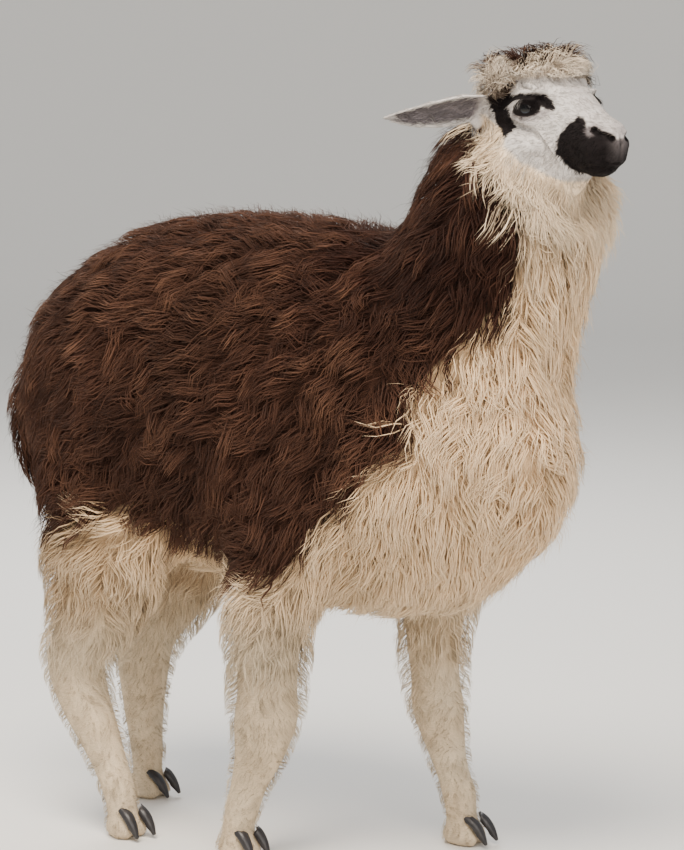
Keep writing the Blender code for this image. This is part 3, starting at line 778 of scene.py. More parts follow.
def sculpted_head(points, normals):
    """Folds of the lids, nose, lips and cheeks, as moves along the normals."""
    move = np.zeros(len(points))
    forward, left, up = in_head(points).T
    for side, word in SIDES:
        along, out, height = in_eye(points, side, word).T
        ring = np.hypot(along / LID_OPENING[0], height / LID_OPENING[1])
        folds = 0.0
        for place, width, rise, half in LID_FOLDS:
            here = (out > LID_FOLDS_FROM * EYE_RADIUS) & ((half == 0) | (height * half > 0))
            folds = folds + rise * (bump(ring, place, width) * here)
        move += folds
    fold = up + CHEEK_DOWN + CHEEK_SLOPE * (forward - CHEEK_START)
    cheek = bump(fold, 0.0, CHEEK_WIDTH) * smoothstep(*CHEEK_FORWARD, forward)
    cheek = cheek * smoothstep(*CHEEK_BACK, forward) * (np.abs(left) > CHEEK_ASIDE)
    split = bump(left, 0.0, SPLIT_WIDTH) * smoothstep(*SPLIT_FORWARD, forward)
    split = split * smoothstep(*SPLIT_UP, up) * (up > SPLIT_FLOOR)
    nostril = np.exp(-(nostril_depth(points) / NOSTRIL_HALF_WIDTH) ** 4) * (forward > NOSE_FROM)
    hollow = bump(forward, *HOLLOW[0]) * bump(up, *HOLLOW[1]) * (np.abs(left) > HOLLOW_ASIDE)
    move -= CHEEK_DEPTH * cheek
    move -= SPLIT_DEPTH * split
    move -= NOSTRIL_DEPTH * nostril
    move -= HOLLOW_DEPTH * hollow
    return points + normals * move[:, None]


def cut_below(obj, place, way):
    """Cuts away what lies behind a plane and closes the cut."""
    with edited(obj.data) as form:
        cut = bmesh.ops.bisect_plane(
            form, geom=form.verts[:] + form.edges[:] + form.faces[:], dist=1e-6,
            plane_co=place, plane_no=way, clear_inner=True,
        )
        rim = [e for e in cut["geom_cut"] if isinstance(e, bmesh.types.BMEdge) and e.is_boundary]
        filled = bmesh.ops.edgeloop_fill(form, edges=rim)
        bmesh.ops.triangulate(form, faces=filled["faces"])
        bmesh.ops.recalc_face_normals(form, faces=form.faces)
        if form.calc_volume(signed=True) < 0:
            bmesh.ops.reverse_faces(form, faces=form.faces)


EAR_ROOT, EAR_ROOT_DEPTH, EAR_ROOT_AIM = 0.030, 0.022, (-0.05, 0, -0.01)


def rooted_ear(word):
    """A copy of an ear's mesh, with its base drawn out into the skull."""
    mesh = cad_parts["ear_" + word].data.copy()
    points, _, _, _ = arrays_of(mesh)
    away = np.linalg.norm(in_head(points), axis=1)
    root = smoothstep(away.min() + EAR_ROOT, away.min(), away)
    inward = unit(np.array(HEAD_MIDDLE) + HEAD_AXES.T @ np.array(EAR_ROOT_AIM) - points)
    set_points(mesh, points + inward * (EAR_ROOT_DEPTH * root)[:, None])
    return mesh


# The planes where the head's skin ends in the neck, before and after it is sunk: place and facing.
NECK_CUT = (0.30, 0.0, 0.985), (0.45, 0.0, 0.89)
SKIN_CUT = (0.345, 0.0, 1.075), (0.573, 0.0, 0.819)
BARE_EAR_DEPTH = 0.006  # less than this is evened in from beside the ears
SLIT_HEIGHT, SLIT_FORWARD, SLIT_SWELL = 0.006, (0.09, 0.11), 0.0012  # the closed lips
# Where the skin sinks towards the skull's axis, so that its cheeks and throat don't fold.
INWARD_UP, INWARD_DOWN, INWARD_BACK = (-0.105, -0.070), (0.030, 0.005), (-0.120, -0.090)
INWARD_DEPTH = (0.004, 0.012)


def head_skin(sizes):
    """The head, ears and top of the neck, with lids, in a fine grain."""
    extras = [lid_solid(side, EYES[word]) for side, word in SIDES]
    extras += [ball(place_on_head(*place), radii, head_turn()) for place, radii in FILLS]
    meshes = [shell_mesh(("head", "neck")), rooted_ear("left"), rooted_ear("right")]
    head = joined("head skin", meshes + [extra.data for extra in extras])
    for extra in extras:
        bpy.data.objects.remove(extra)
    remeshed(head, sizes.head_grain, 4)
    cut_below(head, *NECK_CUT)
    points, _, _, edges = arrays_of(head.data)
    owner, _ = nearest_nodes(points, *cad_surface(FLESH))
    face, ear, neck = bare_face_share(points), has(owner, "ear_"), owner == "neck"
    wool = np.where(neck, NECK_TOP_DEPTH, COAT_DEPTH["head"])
    excess = evened(np.clip(skull_excess(points), 0.0, MOST_WOOL["head"]), edges, 12)
    depths = evened(np.where(ear, 0.0, face * FACE_DEPTH + (1 - face) * wool), edges, 30)
    depths = np.maximum(depths, np.where(ear | neck, 0.0, FACE_DEPTH + excess))
    depths = evened(depths, edges, 6)
    depths = np.where(ear & (depths < BARE_EAR_DEPTH), 0.0, depths)
    forward, _, up = in_head(points).T
    slit = bump(up, MOUTH_HEIGHT, SLIT_HEIGHT) * smoothstep(*SLIT_FORWARD, forward)
    depths = depths * (1 - slit) - SLIT_SWELL * slit
    inward = smoothstep(*INWARD_UP, up) * smoothstep(*INWARD_BACK, forward)
    inward = inward * smoothstep(*INWARD_DOWN, up) * (owner == "head")
    inward = evened(inward, edges, 12) * smoothstep(*INWARD_DEPTH, depths)
    sunk(head, depths, 10, 12, inward)
    cut_below(head, *SKIN_CUT)
    points, _, normals, _ = arrays_of(head.data)
    set_points(head.data, sculpted_head(points, normals))
    return head


SOLES = (-0.002, 0.030)  # the coat thins out towards the floor between these heights


def body_skin(sizes):
    """Trunk, neck, tail and legs in a coarse grain, sunk by the coat's depth."""
    names = [name for name in FLESH if not name.startswith("ear_")]
    body = joined("body skin", [shell_mesh(names)])
    remeshed(body, sizes.skin_grain, 6)
    points, _, _, edges = arrays_of(body.data)
    owner, _ = nearest_nodes(points, *cad_surface(names))
    depths = np.array([depth_of(name) for name in owner])
    under_wool = COAT_DEPTH["head"] + np.clip(skull_excess(points), 0.0, MOST_WOOL["body"])
    depths = np.where(owner == "head", under_wool, depths)
    depths = evened(depths, edges, 20) * smoothstep(*SOLES, points[:, 2])
    return sunk(body, depths, 8, 2)


def set_attribute(mesh, name, kind, values):
    layer = mesh.attributes.new(name, kind, "POINT")
    key = {"FLOAT": "value", "FLOAT_VECTOR": "vector", "FLOAT_COLOR": "color"}[kind]
    layer.data.foreach_set(key, np.ascontiguousarray(values, np.float32).ravel())


def attribute_of(mesh, name, key, width):
    """An attribute's rows of so many numbers, one for each vertex."""
    values = np.empty(len(mesh.vertices) * width, np.float32)
    mesh.attributes[name].data.foreach_get(key, values)
    return values.reshape(-1, width).astype(float)


def with_alpha(colours):
    return np.concatenate([colours, np.ones((len(colours), 1))], axis=1)


# How strongly the coat lies back along the trunk, and down by height.
LIE_BACK = ((-0.50, 0.75), (-0.20, 1.10), (0.08, 1.00), (0.24, 0.35), (0.36, 0.12))
LIE_DOWN = ((0.50, 1.05), (0.75, 0.75), (0.95, 0.30))
LIE_OUT, TOP_OF_BACK = 0.35, (0.3, 0.9)
# The lie elsewhere, by the words in a node's name.
LIE = {
    "neck": (-0.25, 0.0, -1.0), "leg": (-0.10, 0.0, -1.0), "foot": (-0.10, 0.0, -1.0),
    "tail": (-0.05, 0.0, -1.0),
}
EAR_LIE = (-0.6, 0.8, 0.0)  # back, out and up
THROAT_LIE = (-0.15, 0, -1.0)
WHORL = (-0.060, 0.0, 0.030)  # the place on the head that the topknot falls away from
WHORL_UP, WHORL_DROOP, JAW_DOWN, JAW_DROOP = (0.010, 0.035), 0.02, (0.0, -0.08), 0.5


def lie_of_coat(points, normals, owner, edges):
    """The way that the hair points over the skin, before it droops."""
    x, y, z = points.T
    way = np.zeros((len(points), 3))
    way[:, 0] = -edge_at(LIE_BACK, x)
    way[:, 1] = LIE_OUT * np.sign(y) * smoothstep(*TOP_OF_BACK, normals[:, 2])
    way[:, 2] = -edge_at(LIE_DOWN, z)
    for word, lie in LIE.items():
        way[has(owner, word)] = lie
    for side, word in SIDES:
        way[owner == "ear_" + word] = np.array(head_vector(EAR_LIE[0], side * EAR_LIE[1], EAR_LIE[2]))
    head = in_head(points)
    drooping = JAW_DROOP * smoothstep(*JAW_DOWN, head[:, 2])[:, None]
    face_way = -HEAD_AXES[0] + drooping * np.array([0, 0, -1.0])
    crown_way = unit((head - np.array(WHORL)) @ HEAD_AXES + np.array([0, 0, -WHORL_DROOP]))
    crown_share = smoothstep(*WHORL_UP, head[:, 2])[:, None]
    face_way = face_way * (1 - crown_share) + crown_way * crown_share
    throat_share = (1 - bare_face_share(points))[:, None] * (1 - crown_share)
    face_way = face_way * (1 - throat_share) + np.array(THROAT_LIE) * throat_share
    way[owner == "head"] = face_way[owner == "head"]
    way = evened(unit(way - normals * dot(way, normals)), edges, 12)
    return unit(way - normals * dot(way, normals) + 1e-6)


class ALPACA_OT_skin(bpy.types.Operator):
    """Makes the one skin that stands for all the nodes of flesh"""

    bl_idname = "alpaca.skin"
    bl_label = "Skin"

    def execute(self, context):
        sizes, colours = context.scene.alpaca_sizes, context.scene.alpaca_colours
        head, body = head_skin(sizes), body_skin(sizes)
        skin = combined(body, head, "UNION")
        skin.name = skin.data.name = "skin"
        skin.data.shade_smooth()
        points, _, normals, edges = arrays_of(skin.data)
        owner, depth = nearest_nodes(points, *cad_surface(FLESH))
        set_attribute(skin.data, "coat_depth", "FLOAT", evened(depth, edges, 2))
        set_attribute(skin.data, "lie", "FLOAT_VECTOR", lie_of_coat(points, normals, owner, edges))
        set_attribute(skin.data, "colour_and_painted_shading", "FLOAT_COLOR", with_alpha(colour_and_painted_shading(points, colours)))
        set_attribute(skin.data, "node", "FLOAT", [FLESH.index(name) for name in owner])
        finish_piece(skin, short_hair_material(), FLESH)
        return {"FINISHED"}


# ---------------------------------------------------------------- locks


class Skin:
    """The finished skin as arrays, with a quick search for its nearest vertex."""

    def __init__(self):
        mesh = bpy.data.objects["skin"].data
        self.points, self.faces, self.normals, self.edges = arrays_of(mesh)
        self.lie = attribute_of(mesh, "lie", "vector", 3)
        self.depth = attribute_of(mesh, "coat_depth", "value", 1)[:, 0]
        self.owner = np.array(FLESH)[attribute_of(mesh, "node", "value", 1)[:, 0].round().astype(int)]
        self.tree = KDTree(len(self.points))
        for index, point in enumerate(self.points.tolist()):
            self.tree.insert(point, index)
        self.tree.balance()
        corners = self.points[self.faces]
        cross = np.cross(corners[:, 1] - corners[:, 0], corners[:, 2] - corners[:, 0])
        self.areas = np.linalg.norm(cross, axis=1) / 2
        self.middles = corners.mean(axis=1)
        self.face_owner = self.owner[self.faces[:, 0]]

    def nearest(self, points):
        find = self.tree.find
        return np.array([find(point)[1] for point in points.tolist()])

    def scattered(self, chosen, spacing, rng):
        """Random places on the chosen triangles, one for each square of this spacing."""
        weights = self.areas * chosen / np.broadcast_to(spacing, self.areas.shape) ** 2
        count = int(weights.sum())
        faces = rng.choice(len(weights), count, p=weights / weights.sum())
        first, second = rng.random((2, count))
        over = first + second > 1
        first, second = np.where(over, 1 - first, first), np.where(over, 1 - second, second)
        corners = self.points[self.faces[faces]]
        runs = corners[:, 1:] - corners[:, :1]
        return corners[:, 0] + first[:, None] * runs[:, 0] + second[:, None] * runs[:, 1]

    def walked(self, roots, lengths, turns, stations):
        """Walks from each root along the lie of the coat. Gives places, normals, ways and depths."""
        here, walk = roots, []
        for t, following in zip(stations, [*stations[1:], stations[-1]]):
            index = self.nearest(here)
            normal, way = self.normals[index], self.lie[index]
            here = here - normal * dot(here - self.points[index], normal)
            sideways = np.cross(normal, way)
            way = way * np.cos(turns)[:, None] + sideways * np.sin(turns)[:, None]
            walk.append((here, normal, way, self.depth[index]))
            here = here + way * (lengths * (following - t))[:, None]
        places, normals, ways, depths = [np.stack(rows) for rows in zip(*walk)]
        for _ in range(4):
            places[1:-1] = 0.5 * places[1:-1] + 0.25 * (places[:-2] + places[2:])
            normals[1:] = unit(normals[1:] + normals[:-1])
        return places, normals, unit(np.gradient(places, axis=0)), depths


# Where a lock's rings stand along it, and how wide each is, by how many rings it has.
STATIONS = {
    2: (0.0, 0.15, 0.6, 1.0),
    3: (0.0, 0.10, 0.42, 0.76, 1.0),
    4: (0.0, 0.08, 0.30, 0.55, 0.80, 1.0),
}
SWELL = {2: (1.0, 0.7), 3: (1.0, 0.95, 0.62), 4: (1.0, 1.0, 0.85, 0.55)}
PATCH = 0.003  # a lock's share of the unwrap
# How far stray tips may pass the solids' box, and how low they may lie over the floor.
TIPS_PAST = np.array([0.012, 0.012, 0.024])
TIPS_FLOOR = 0.0006
# How a lock turns off the lie of the coat: with its neighbours, and by itself.
MEANDER, OWN_TURN = (0.30, 0.07, 31), 0.25
LENGTH_SPREAD = (0.7, 1.12)
RELIEF_RAG, RELIEF_SHARE = (0.5, 0.022, 51), 0.55  # which tufts stand high, in blobs and each alone
STRAY_SHARE, PHASE_SPREAD = 0.12, 0.10
TUFT_REACH, TUFT_SPREAD = 0.04, 0.4
LOCK_FLATNESS, LOCK_ROLL, WIDTH_SPREAD = 0.55, 0.5, (0.7, 1.3)
SOFT_FACING = (-0.7, 0.3)  # a lock's sides that face out scatter light as the whole coat does


def lock_faces(rings):
    """Triangles of one three-sided lock, from its root point over its rings to its tip."""
    faces = [(0, 1 + (s + 1) % 3, 1 + s) for s in range(3)]
    for ring in range(rings - 1):
        low, high = 1 + 3 * ring, 4 + 3 * ring
        for s in range(3):
            after = (s + 1) % 3
            faces += [(low + s, low + after, high + after), (low + s, high + after, high + s)]
    last, tip = 1 + 3 * (rings - 1), 1 + 3 * rings
    faces += [(last + s, last + (s + 1) % 3, tip) for s in range(3)]
    return np.array(faces)


def lock_patch(rings, stations):
    """Each face corner's place in a lock's own strip: across its three sides, and along it."""
    sides = [(s / 3, (s + 0.5) / 3, (s + 1) / 3) for s in range(3)]
    first, last = stations[1], stations[rings]
    strip = [[(middle, 0.0), (right, first), (left, first)] for left, middle, right in sides]
    for low, high in zip(stations[1:rings], stations[2:rings + 1]):
        for left, _, right in sides:
            strip.append([(left, low), (right, low), (right, high)])
            strip.append([(left, low), (right, high), (left, high)])
    strip += [[(left, last), (right, last), (middle, 1.0)] for left, middle, right in sides]
    return np.array(strip)


class Locks:
    """Rooted curves over the skin that become solid three-sided locks."""

    def __init__(self, skin, chosen, rng, spacing, length, rings, tuft, swirl=0.22):
        self.rng, self.rings = rng, rings
        self.t = np.array(STATIONS[rings])
        self.roots = skin.scattered(chosen, spacing, rng)
        count = len(self.roots)
        self.strand = rng.random(count)
        self.gather(tuft)
        tuft_turn = rng.normal(size=count)[self.lead]
        self.lengths = length(self.roots) * rng.uniform(*LENGTH_SPREAD, count)
        turns = rag(self.roots, *MEANDER) + swirl * tuft_turn + OWN_TURN * rng.normal(size=count)
        walk = skin.walked(self.roots, self.lengths, turns, self.t)
        self.places, self.normals, self.ways, self.depths = walk
        swell = 0.5 + rag(self.roots, *RELIEF_RAG)
        alone = (1 - RELIEF_SHARE) * self.strand[self.lead]
        self.relief = np.clip(RELIEF_SHARE * swell + alone, 0, 1)

    def gather(self, tuft):
        """Finds the lock that leads each tuft, which holds about this many locks."""
        count = len(self.roots)
        leaders = self.rng.permutation(count)[: max(count // tuft, 1)]
        tree = KDTree(len(leaders))
        for index, lead in enumerate(leaders):
            tree.insert(self.roots[lead].tolist(), index)
        tree.balance()
        found = [tree.find(root)[1:] for root in self.roots.tolist()]
        self.lead = leaders[np.array([f[0] for f in found])]
        self.apart = np.array([f[1] for f in found])

    def raised(self, reach, droop=0.0, clumping=0.6, wave=0.003, waves=1.6, lift=1.8, stray=0.1):
        """Lifts the curves off the skin, waves them, and draws each clump's tips together."""
        rng, t = self.rng, self.t[:, None]
        height = self.depths[0] * reach
        side = unit(np.cross(self.normals, self.ways))
        rise = 1 - (1 - t) ** lift
        curve = self.places + self.normals * (height * rise)[:, :, None]
        phase = self.strand[self.lead] + PHASE_SPREAD * rng.normal(size=len(self.roots))
        sway = np.sin(2 * math.pi * waves * t + 2 * math.pi * phase) * np.sqrt(t) * wave
        curve = curve + side * sway[:, :, None]
        curve = curve + np.array([0, 0, -1.0]) * (droop * t ** 2 * height)[:, :, None]
        wander = rng.normal(size=(len(self.roots), 3)) * (stray * STRAY_SHARE * self.lengths)[:, None]
        curve = curve + wander * (t ** 1.5)[:, :, None]
        drawn = clumping * smoothstep(0.0, 1.0, t) * (self.apart < TUFT_REACH)
        offset = (self.roots - self.roots[self.lead]) * TUFT_SPREAD
        curve = curve + (curve[:, self.lead] + offset - curve) * drawn[:, :, None]
        low, high = np.array(CAD_BOX[0]) - TIPS_PAST, np.array(CAD_BOX[1]) + TIPS_PAST
        self.curve = np.clip(curve, low, high)

    def mesh(self, name, width, colours_at, unwrap, softness=0.55):
        """One closed mesh of all the locks."""
        rings, count = self.rings, len(self.roots)
        tangent = unit(np.gradient(self.curve, axis=0))
        side = unit(np.cross(self.normals, tangent))
        out = np.cross(tangent, side)
        roll = self.rng.normal(0, LOCK_ROLL, count)
        widths = np.asarray(width)[None] * np.array(SWELL[rings])[:, None]
        edges = []
        for corner in range(3):
            angle = roll + 2 * math.pi * corner / 3 + math.pi / 2
            across = side[1:-1] * (widths * np.cos(angle))[:, :, None]
            through = out[1:-1] * (LOCK_FLATNESS * widths * np.sin(angle))[:, :, None]
            edges.append(self.curve[1:-1] + across + through)

        def rows(root, corners, tip):
            """Rows from root to tip, three for each ring."""
            return np.concatenate([root, np.stack(corners, axis=1).reshape(-1, count, 3), tip])

        points = rows(self.curve[:1], edges, self.curve[-1:]).transpose(1, 0, 2).reshape(-1, 3)
        points[:, 2] = np.maximum(points[:, 2], TIPS_FLOOR)
        per_lock = 2 + 3 * rings
        faces = lock_faces(rings)[None] + per_lock * np.arange(count)[:, None, None]
        faces = faces.reshape(-1, 3)
        mesh = bpy.data.meshes.new(name)
        mesh.vertices.add(len(points))
        mesh.loops.add(faces.size)
        mesh.loops.foreach_set("vertex_index", faces.astype(np.int32).ravel())
        mesh.polygons.add(len(faces))
        mesh.polygons.foreach_set("loop_start", np.arange(0, faces.size, 3, dtype=np.int32))
        mesh.update(calc_edges=True)
        set_points(mesh, points)
        mesh.shade_smooth()
        strip = lock_patch(rings, self.t)
        for layer, scale, at in (("OFBake", PATCH, unwrap(self.roots)), ("Fibre", 1.0, None)):
            uv = np.tile(strip[None] * scale, (count, 1, 1, 1))
            if at is not None:
                uv = uv + at[:, None, None, :]
            made = mesh.uv_layers.new(name=layer)
            made.data.foreach_set("uv", uv.astype(np.float32).ravel())
        own = unit(rows(-tangent[:1], [edge - self.curve[1:-1] for edge in edges], tangent[-1:]))
        coat = rows(self.normals[:1], [self.normals[1:-1]] * 3, self.normals[-1:])
        share = softness * smoothstep(*SOFT_FACING, dot(own, coat))
        soft = unit(own * (1 - share) + coat * share)
        set_attribute(mesh, "custom_normal", "FLOAT_VECTOR", soft.transpose(1, 0, 2).reshape(-1, 3))
        along = np.concatenate([[0.0], np.repeat(self.t[1:-1], 3), [1.0]])
        shade = colours_at(self, along).reshape(-1, 3)
        set_attribute(mesh, "colour_and_painted_shading", "FLOAT_COLOR", with_alpha(shade))
        set_attribute(mesh, "strand", "FLOAT", np.repeat(self.strand, per_lock))
        return mesh


# The wool's tones. The first window is on the skin's slope, for sun bleaching and painted light from
# above on upward-facing wool, and the pair after it gives the least of that and how much more.
SUN_AND_TOP_LIGHT_SLOPE, SUN_BLEACH_AND_TOP_LIGHT, BLEACH_RAG = (-0.1, 0.9), (0.50, 1.10), (0.4, 0.05, 17)
# Tips of high tufts are sun-bleached and also carry painted light on their tops.
HIGH_TUFT_BLEACH_AND_LIGHT, LOCK_BLEACH = (1.5, 0.45), (0.35, 0.65)  # how bleached high tufts are, and each lock
PALE_TIPS, EAR_TIPS, NECK_TIPS, NECK_TIPS_UP = 0.45, 0.6, 0.6, (0.75, 0.95)
# Painted shade deep in the coat: the share of a pale root's colour, how much lighter it is on short
# flat hair, and how far brown roots go to their shaded colour.
PALE_ROOT_SHADE, SHORT_HAIR_LESS_ROOT_SHADE, BROWN_ROOT_SHADE = 0.68, 0.23, 0.8
# Painted shade between the tufts and painted light on their tops: low tufts are darker, high ones
# lighter.
PALE_TUFT_SHADING, BROWN_TUFT_SHADING = (0.86, 0.20), (0.62, 0.62)  # how light low tufts are, and how much more
PATCHES, LOCK_TONES = (0.13, 0.11, 41), 0.14
# The painted shade of a lock's root reaches this far along it.
ROOT_SHADE_END = 0.40  # how far along a lock its root's tone goes


def wool_colours(colours, bleaching=1.0):
    """Gives each lock its colour from the root: painted shade deep inside the coat and between low
    tufts, painted light on high and upward-facing tufts, and paler, sun-bleached tips.
    """

    def paint(locks, along):
        roots, relief, strand = locks.roots, locks.relief, locks.strand
        base, brown = colour_and_painted_shading(roots, colours), brown_share(roots)
        # Sun bleaching together with painted light from above, on upward-facing wool and on high
        # tufts.
        sun_bleach_and_top_light = SUN_BLEACH_AND_TOP_LIGHT[0] + SUN_BLEACH_AND_TOP_LIGHT[1] * smoothstep(*SUN_AND_TOP_LIGHT_SLOPE, locks.normals[0][:, 2])
        high = HIGH_TUFT_BLEACH_AND_LIGHT[0] * relief - HIGH_TUFT_BLEACH_AND_LIGHT[1] + rag(roots, *BLEACH_RAG)
        bleach_and_top_light = np.clip(high, 0, 1) * sun_bleach_and_top_light
        bleach_and_top_light = np.clip(bleach_and_top_light * (LOCK_BLEACH[0] + LOCK_BLEACH[1] * strand), 0, 1)
        bleach_and_top_light = bleach_and_top_light * (1 - NECK_TIPS * smoothstep(*NECK_TIPS_UP, roots[:, 2]))
        pale = PALE_TIPS * bleaching * (1 - dark_face_share(roots))
        pale_tip = blend(base, colours.cream_tip, pale * (1 - EAR_TIPS * ear_shares(roots)[1]))
        tip = blend(pale_tip, blend(base, colours.brown_tip, bleach_and_top_light), brown)
        # Painted shade at each lock's root, deep inside the coat, less under the short flat hair.
        pale_root_shade = base * (PALE_ROOT_SHADE + SHORT_HAIR_LESS_ROOT_SHADE * bare_face_share(roots)[:, None])
        root = blend(pale_root_shade, blend(base, colours.shaded_brown_root, BROWN_ROOT_SHADE), brown)
        # Painted shade in and between the low tufts, painted light on the high ones.
        tones = [(low + more * relief)[:, None] for low, more in (PALE_TUFT_SHADING, BROWN_TUFT_SHADING)]
        value = blend(*tones, brown) * (1 + rag(roots, *PATCHES)[:, None])
        value = (value + LOCK_TONES * (strand[:, None] - 0.5))[:, None]
        t = along[None, :, None]
        shade = root[:, None] + (base - root)[:, None] * np.minimum(t / ROOT_SHADE_END, 1)
        shade = shade + (tip - base)[:, None] * np.clip((t - ROOT_SHADE_END) / (1 - ROOT_SHADE_END), 0, 1)
        return shade * value

    return paint


UNWRAP_LOW, UNWRAP_HIGH = 0.012, 0.985


def fitted(values, low=UNWRAP_LOW, high=UNWRAP_HIGH):
    """Values spread over this part of 0 to 1."""
    span = max(values.max() - values.min(), 1e-6)
    return low + (high - low) * (values - values.min()) / span


def angle_round(points, across, up):
    """Each place's angle round the middle of them all, on two of the axes."""
    middle = points.mean(axis=0)
    return np.arctan2(points[:, up] - middle[up], points[:, across] - middle[across])


def round_unwrap(axis):
    """Unwraps a limb or the trunk like a tin: along its axis, and by the angle round it."""
    others = [k for k in range(3) if k != axis]

    def unwrap(points):
        return np.stack([fitted(angle_round(points, *others)), fitted(points[:, axis])], axis=1)

    return unwrap


GLOBE = (0.0, 0.0, -0.03)  # the middle of the head's unwrap


def ball_unwrap(points):
    """Unwraps the head like a globe."""
    head = in_head(points) - np.array(GLOBE)
    angle = np.arctan2(head[:, 1], head[:, 2] + 1e-9)
    return np.stack([fitted(angle), fitted(head[:, 0])], axis=1)


FORE_FROM = 0.03  # where the front half starts, along the animal
LEG_STRIP, LEG_STRIDE = 0.235, 0.245  # each leg's share of the unwrap, and from one to the next


def four_legs_unwrap(points):
    """Unwraps each leg like a tin, the four side by side."""
    uv = np.zeros((len(points), 2))
    front, left = points[:, 0] > FORE_FROM, points[:, 1] > 0
    for quarter in range(4):
        mine = (front == bool(quarter & 1)) & (left == bool(quarter & 2))
        if mine.sum() > 1:
            low = UNWRAP_LOW + LEG_STRIDE * quarter
            angle = angle_round(points[mine], 0, 1)
            uv[mine, 0] = fitted(angle, low, low + LEG_STRIP)
            uv[mine, 1] = fitted(points[mine, 2])
    return uv


def finish_piece(piece, material, nodes=()):
    """Gives a piece its one material and its body, and hides the nodes that it stands for."""
    piece.data.materials.clear()
    piece.data.materials.append(material)
    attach(piece, "root")
    if nodes:
        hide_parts(*nodes)


def has(owner, *words):
    """Which of the nodes' names hold one of these words."""
    found = np.zeros(len(owner), bool)
    for word in words:
        found |= np.char.find(owner.astype(str), word) >= 0
    return found


def skin_arrays():
    """The skin's arrays, made once for all the coat's operators."""
    if not hasattr(skin_arrays, "kept"):
        skin_arrays.kept = Skin()
    return skin_arrays.kept


Layer = namedtuple("Layer", "name rings spacing width length low high tuft clumping stray")
# The body coat's two layers: the rings of a lock, the locks' spacing, width and length as shares of
# the region's, the lowest and highest reach as shares of the coat's depth, the locks in a tuft, how
# much their tips clump and how much they stray.
BODY_LAYERS = (
    Layer("fleece_", 3, 0.0068, 1.0, 1.0, 0.62, 1.10, 20, 0.60, 0.30),
    Layer("fuzz_", 2, 0.0076, 0.5, 0.55, 0.75, 1.20, 7, 0.3, 1.8),
)
REAR_END, SHOULDER_START, BREAST_TOP = -0.26, 0.10, 0.62
CHEST_SHARE = 0.9
SHORTEST_LEG_HAIR, LEG_HAIR_UP = 0.22, (0.14, 0.44)
LEG_SPACING, LEG_STRAY = 1.12, 0.4  # the legs' coat against the body's
# The regions of waved wool, and how far their tufts turn and wave, and the other regions' do.
WOOLLY = ("rump", "flank_right", "flank_left", "shoulders")
WOOLLY_WAY, PLAIN_WAY = (0.40, 0.006), (0.18, 0.004)
FULL_WIDTH_FROM, THINNEST = 0.06, 0.5  # locks shorter than this are thinner, down to this share
TUFT_HEIGHT = 0.7  # how much of a lock's reach is its tuft's, and not its own
BODY_DROOP, BODY_LIFT = 0.10, 2.6


class ALPACA_OT_fleece(bpy.types.Operator):
    """Grows the fleece of the trunk, neck, legs and tail"""

    bl_idname = "alpaca.fleece"
    bl_label = "Fleece"

    def execute(self, context):
        sizes = context.scene.alpaca_sizes
        skin, wool = skin_arrays(), wool_material()
        paint = wool_colours(context.scene.alpaca_colours)
        x, y, z = skin.middles.T
        brown = brown_share(skin.middles)
        trunk, legs = has(skin.face_owner, "trunk"), has(skin.face_owner, "leg", "foot")
        neck, tail = has(skin.face_owner, "neck"), has(skin.face_owner, "tail")

        def trunk_length(points):
            pale = 1 - brown_share(points)
            return sizes.fleece_length * (1 - pale) + sizes.chest_length * pale * CHEST_SHARE

        def leg_length(points):
            tall = smoothstep(*LEG_HAIR_UP, points[:, 2])
            return sizes.leg_length * (SHORTEST_LEG_HAIR + (1 - SHORTEST_LEG_HAIR) * tall)

        rear, fore = x < REAR_END, x >= SHOULDER_START
        middle = ~rear & ~fore
        tin, post = round_unwrap(0), round_unwrap(2)
        regions = (
            ("rump", trunk & rear, trunk_length, post),
            ("flank_right", trunk & middle & (y < 0), trunk_length, tin),
            ("flank_left", trunk & middle & (y >= 0), trunk_length, tin),
            ("shoulders", trunk & fore & (z > BREAST_TOP), trunk_length, tin),
            ("breast", trunk & fore & (z <= BREAST_TOP), trunk_length, tin),
            ("neck", neck, trunk_length, post),
            ("tail", tail, trunk_length, post),
            ("forelegs", legs & (x > FORE_FROM), leg_length, four_legs_unwrap),
            ("hind_legs", legs & (x <= FORE_FROM), leg_length, four_legs_unwrap),
        )
        for number, (region, chosen, length, unwrap) in enumerate(regions):
            swirl, wave = WOOLLY_WAY if region in WOOLLY else PLAIN_WAY
            for row, layer in enumerate(BODY_LAYERS):
                rng = np.random.default_rng(sizes.seed + 10 * number + row)
                spacing, stray = layer.spacing, layer.stray
                if unwrap is four_legs_unwrap:
                    spacing, stray = LEG_SPACING * spacing, LEG_STRAY * stray
                locks = Locks(
                    skin, chosen, rng, spacing, lambda points: layer.length * length(points),
                    layer.rings, layer.tuft, swirl,
                )
                count = len(locks.roots)
                high = TUFT_HEIGHT * locks.relief + (1 - TUFT_HEIGHT) * rng.random(count)
                locks.raised(
                    layer.low + (layer.high - layer.low) * high, droop=BODY_DROOP, wave=wave,
                    clumping=layer.clumping, stray=stray, lift=BODY_LIFT,
                )
                width = layer.width * sizes.fleece_width * rng.uniform(*WIDTH_SPREAD, count)
                width = width * np.clip(locks.lengths / FULL_WIDTH_FROM, THINNEST, 1.0)
                mesh = locks.mesh(layer.name + region, width, paint, unwrap)
                finish_piece(new_piece(layer.name + region, mesh), wool)
        return {"FINISHED"}


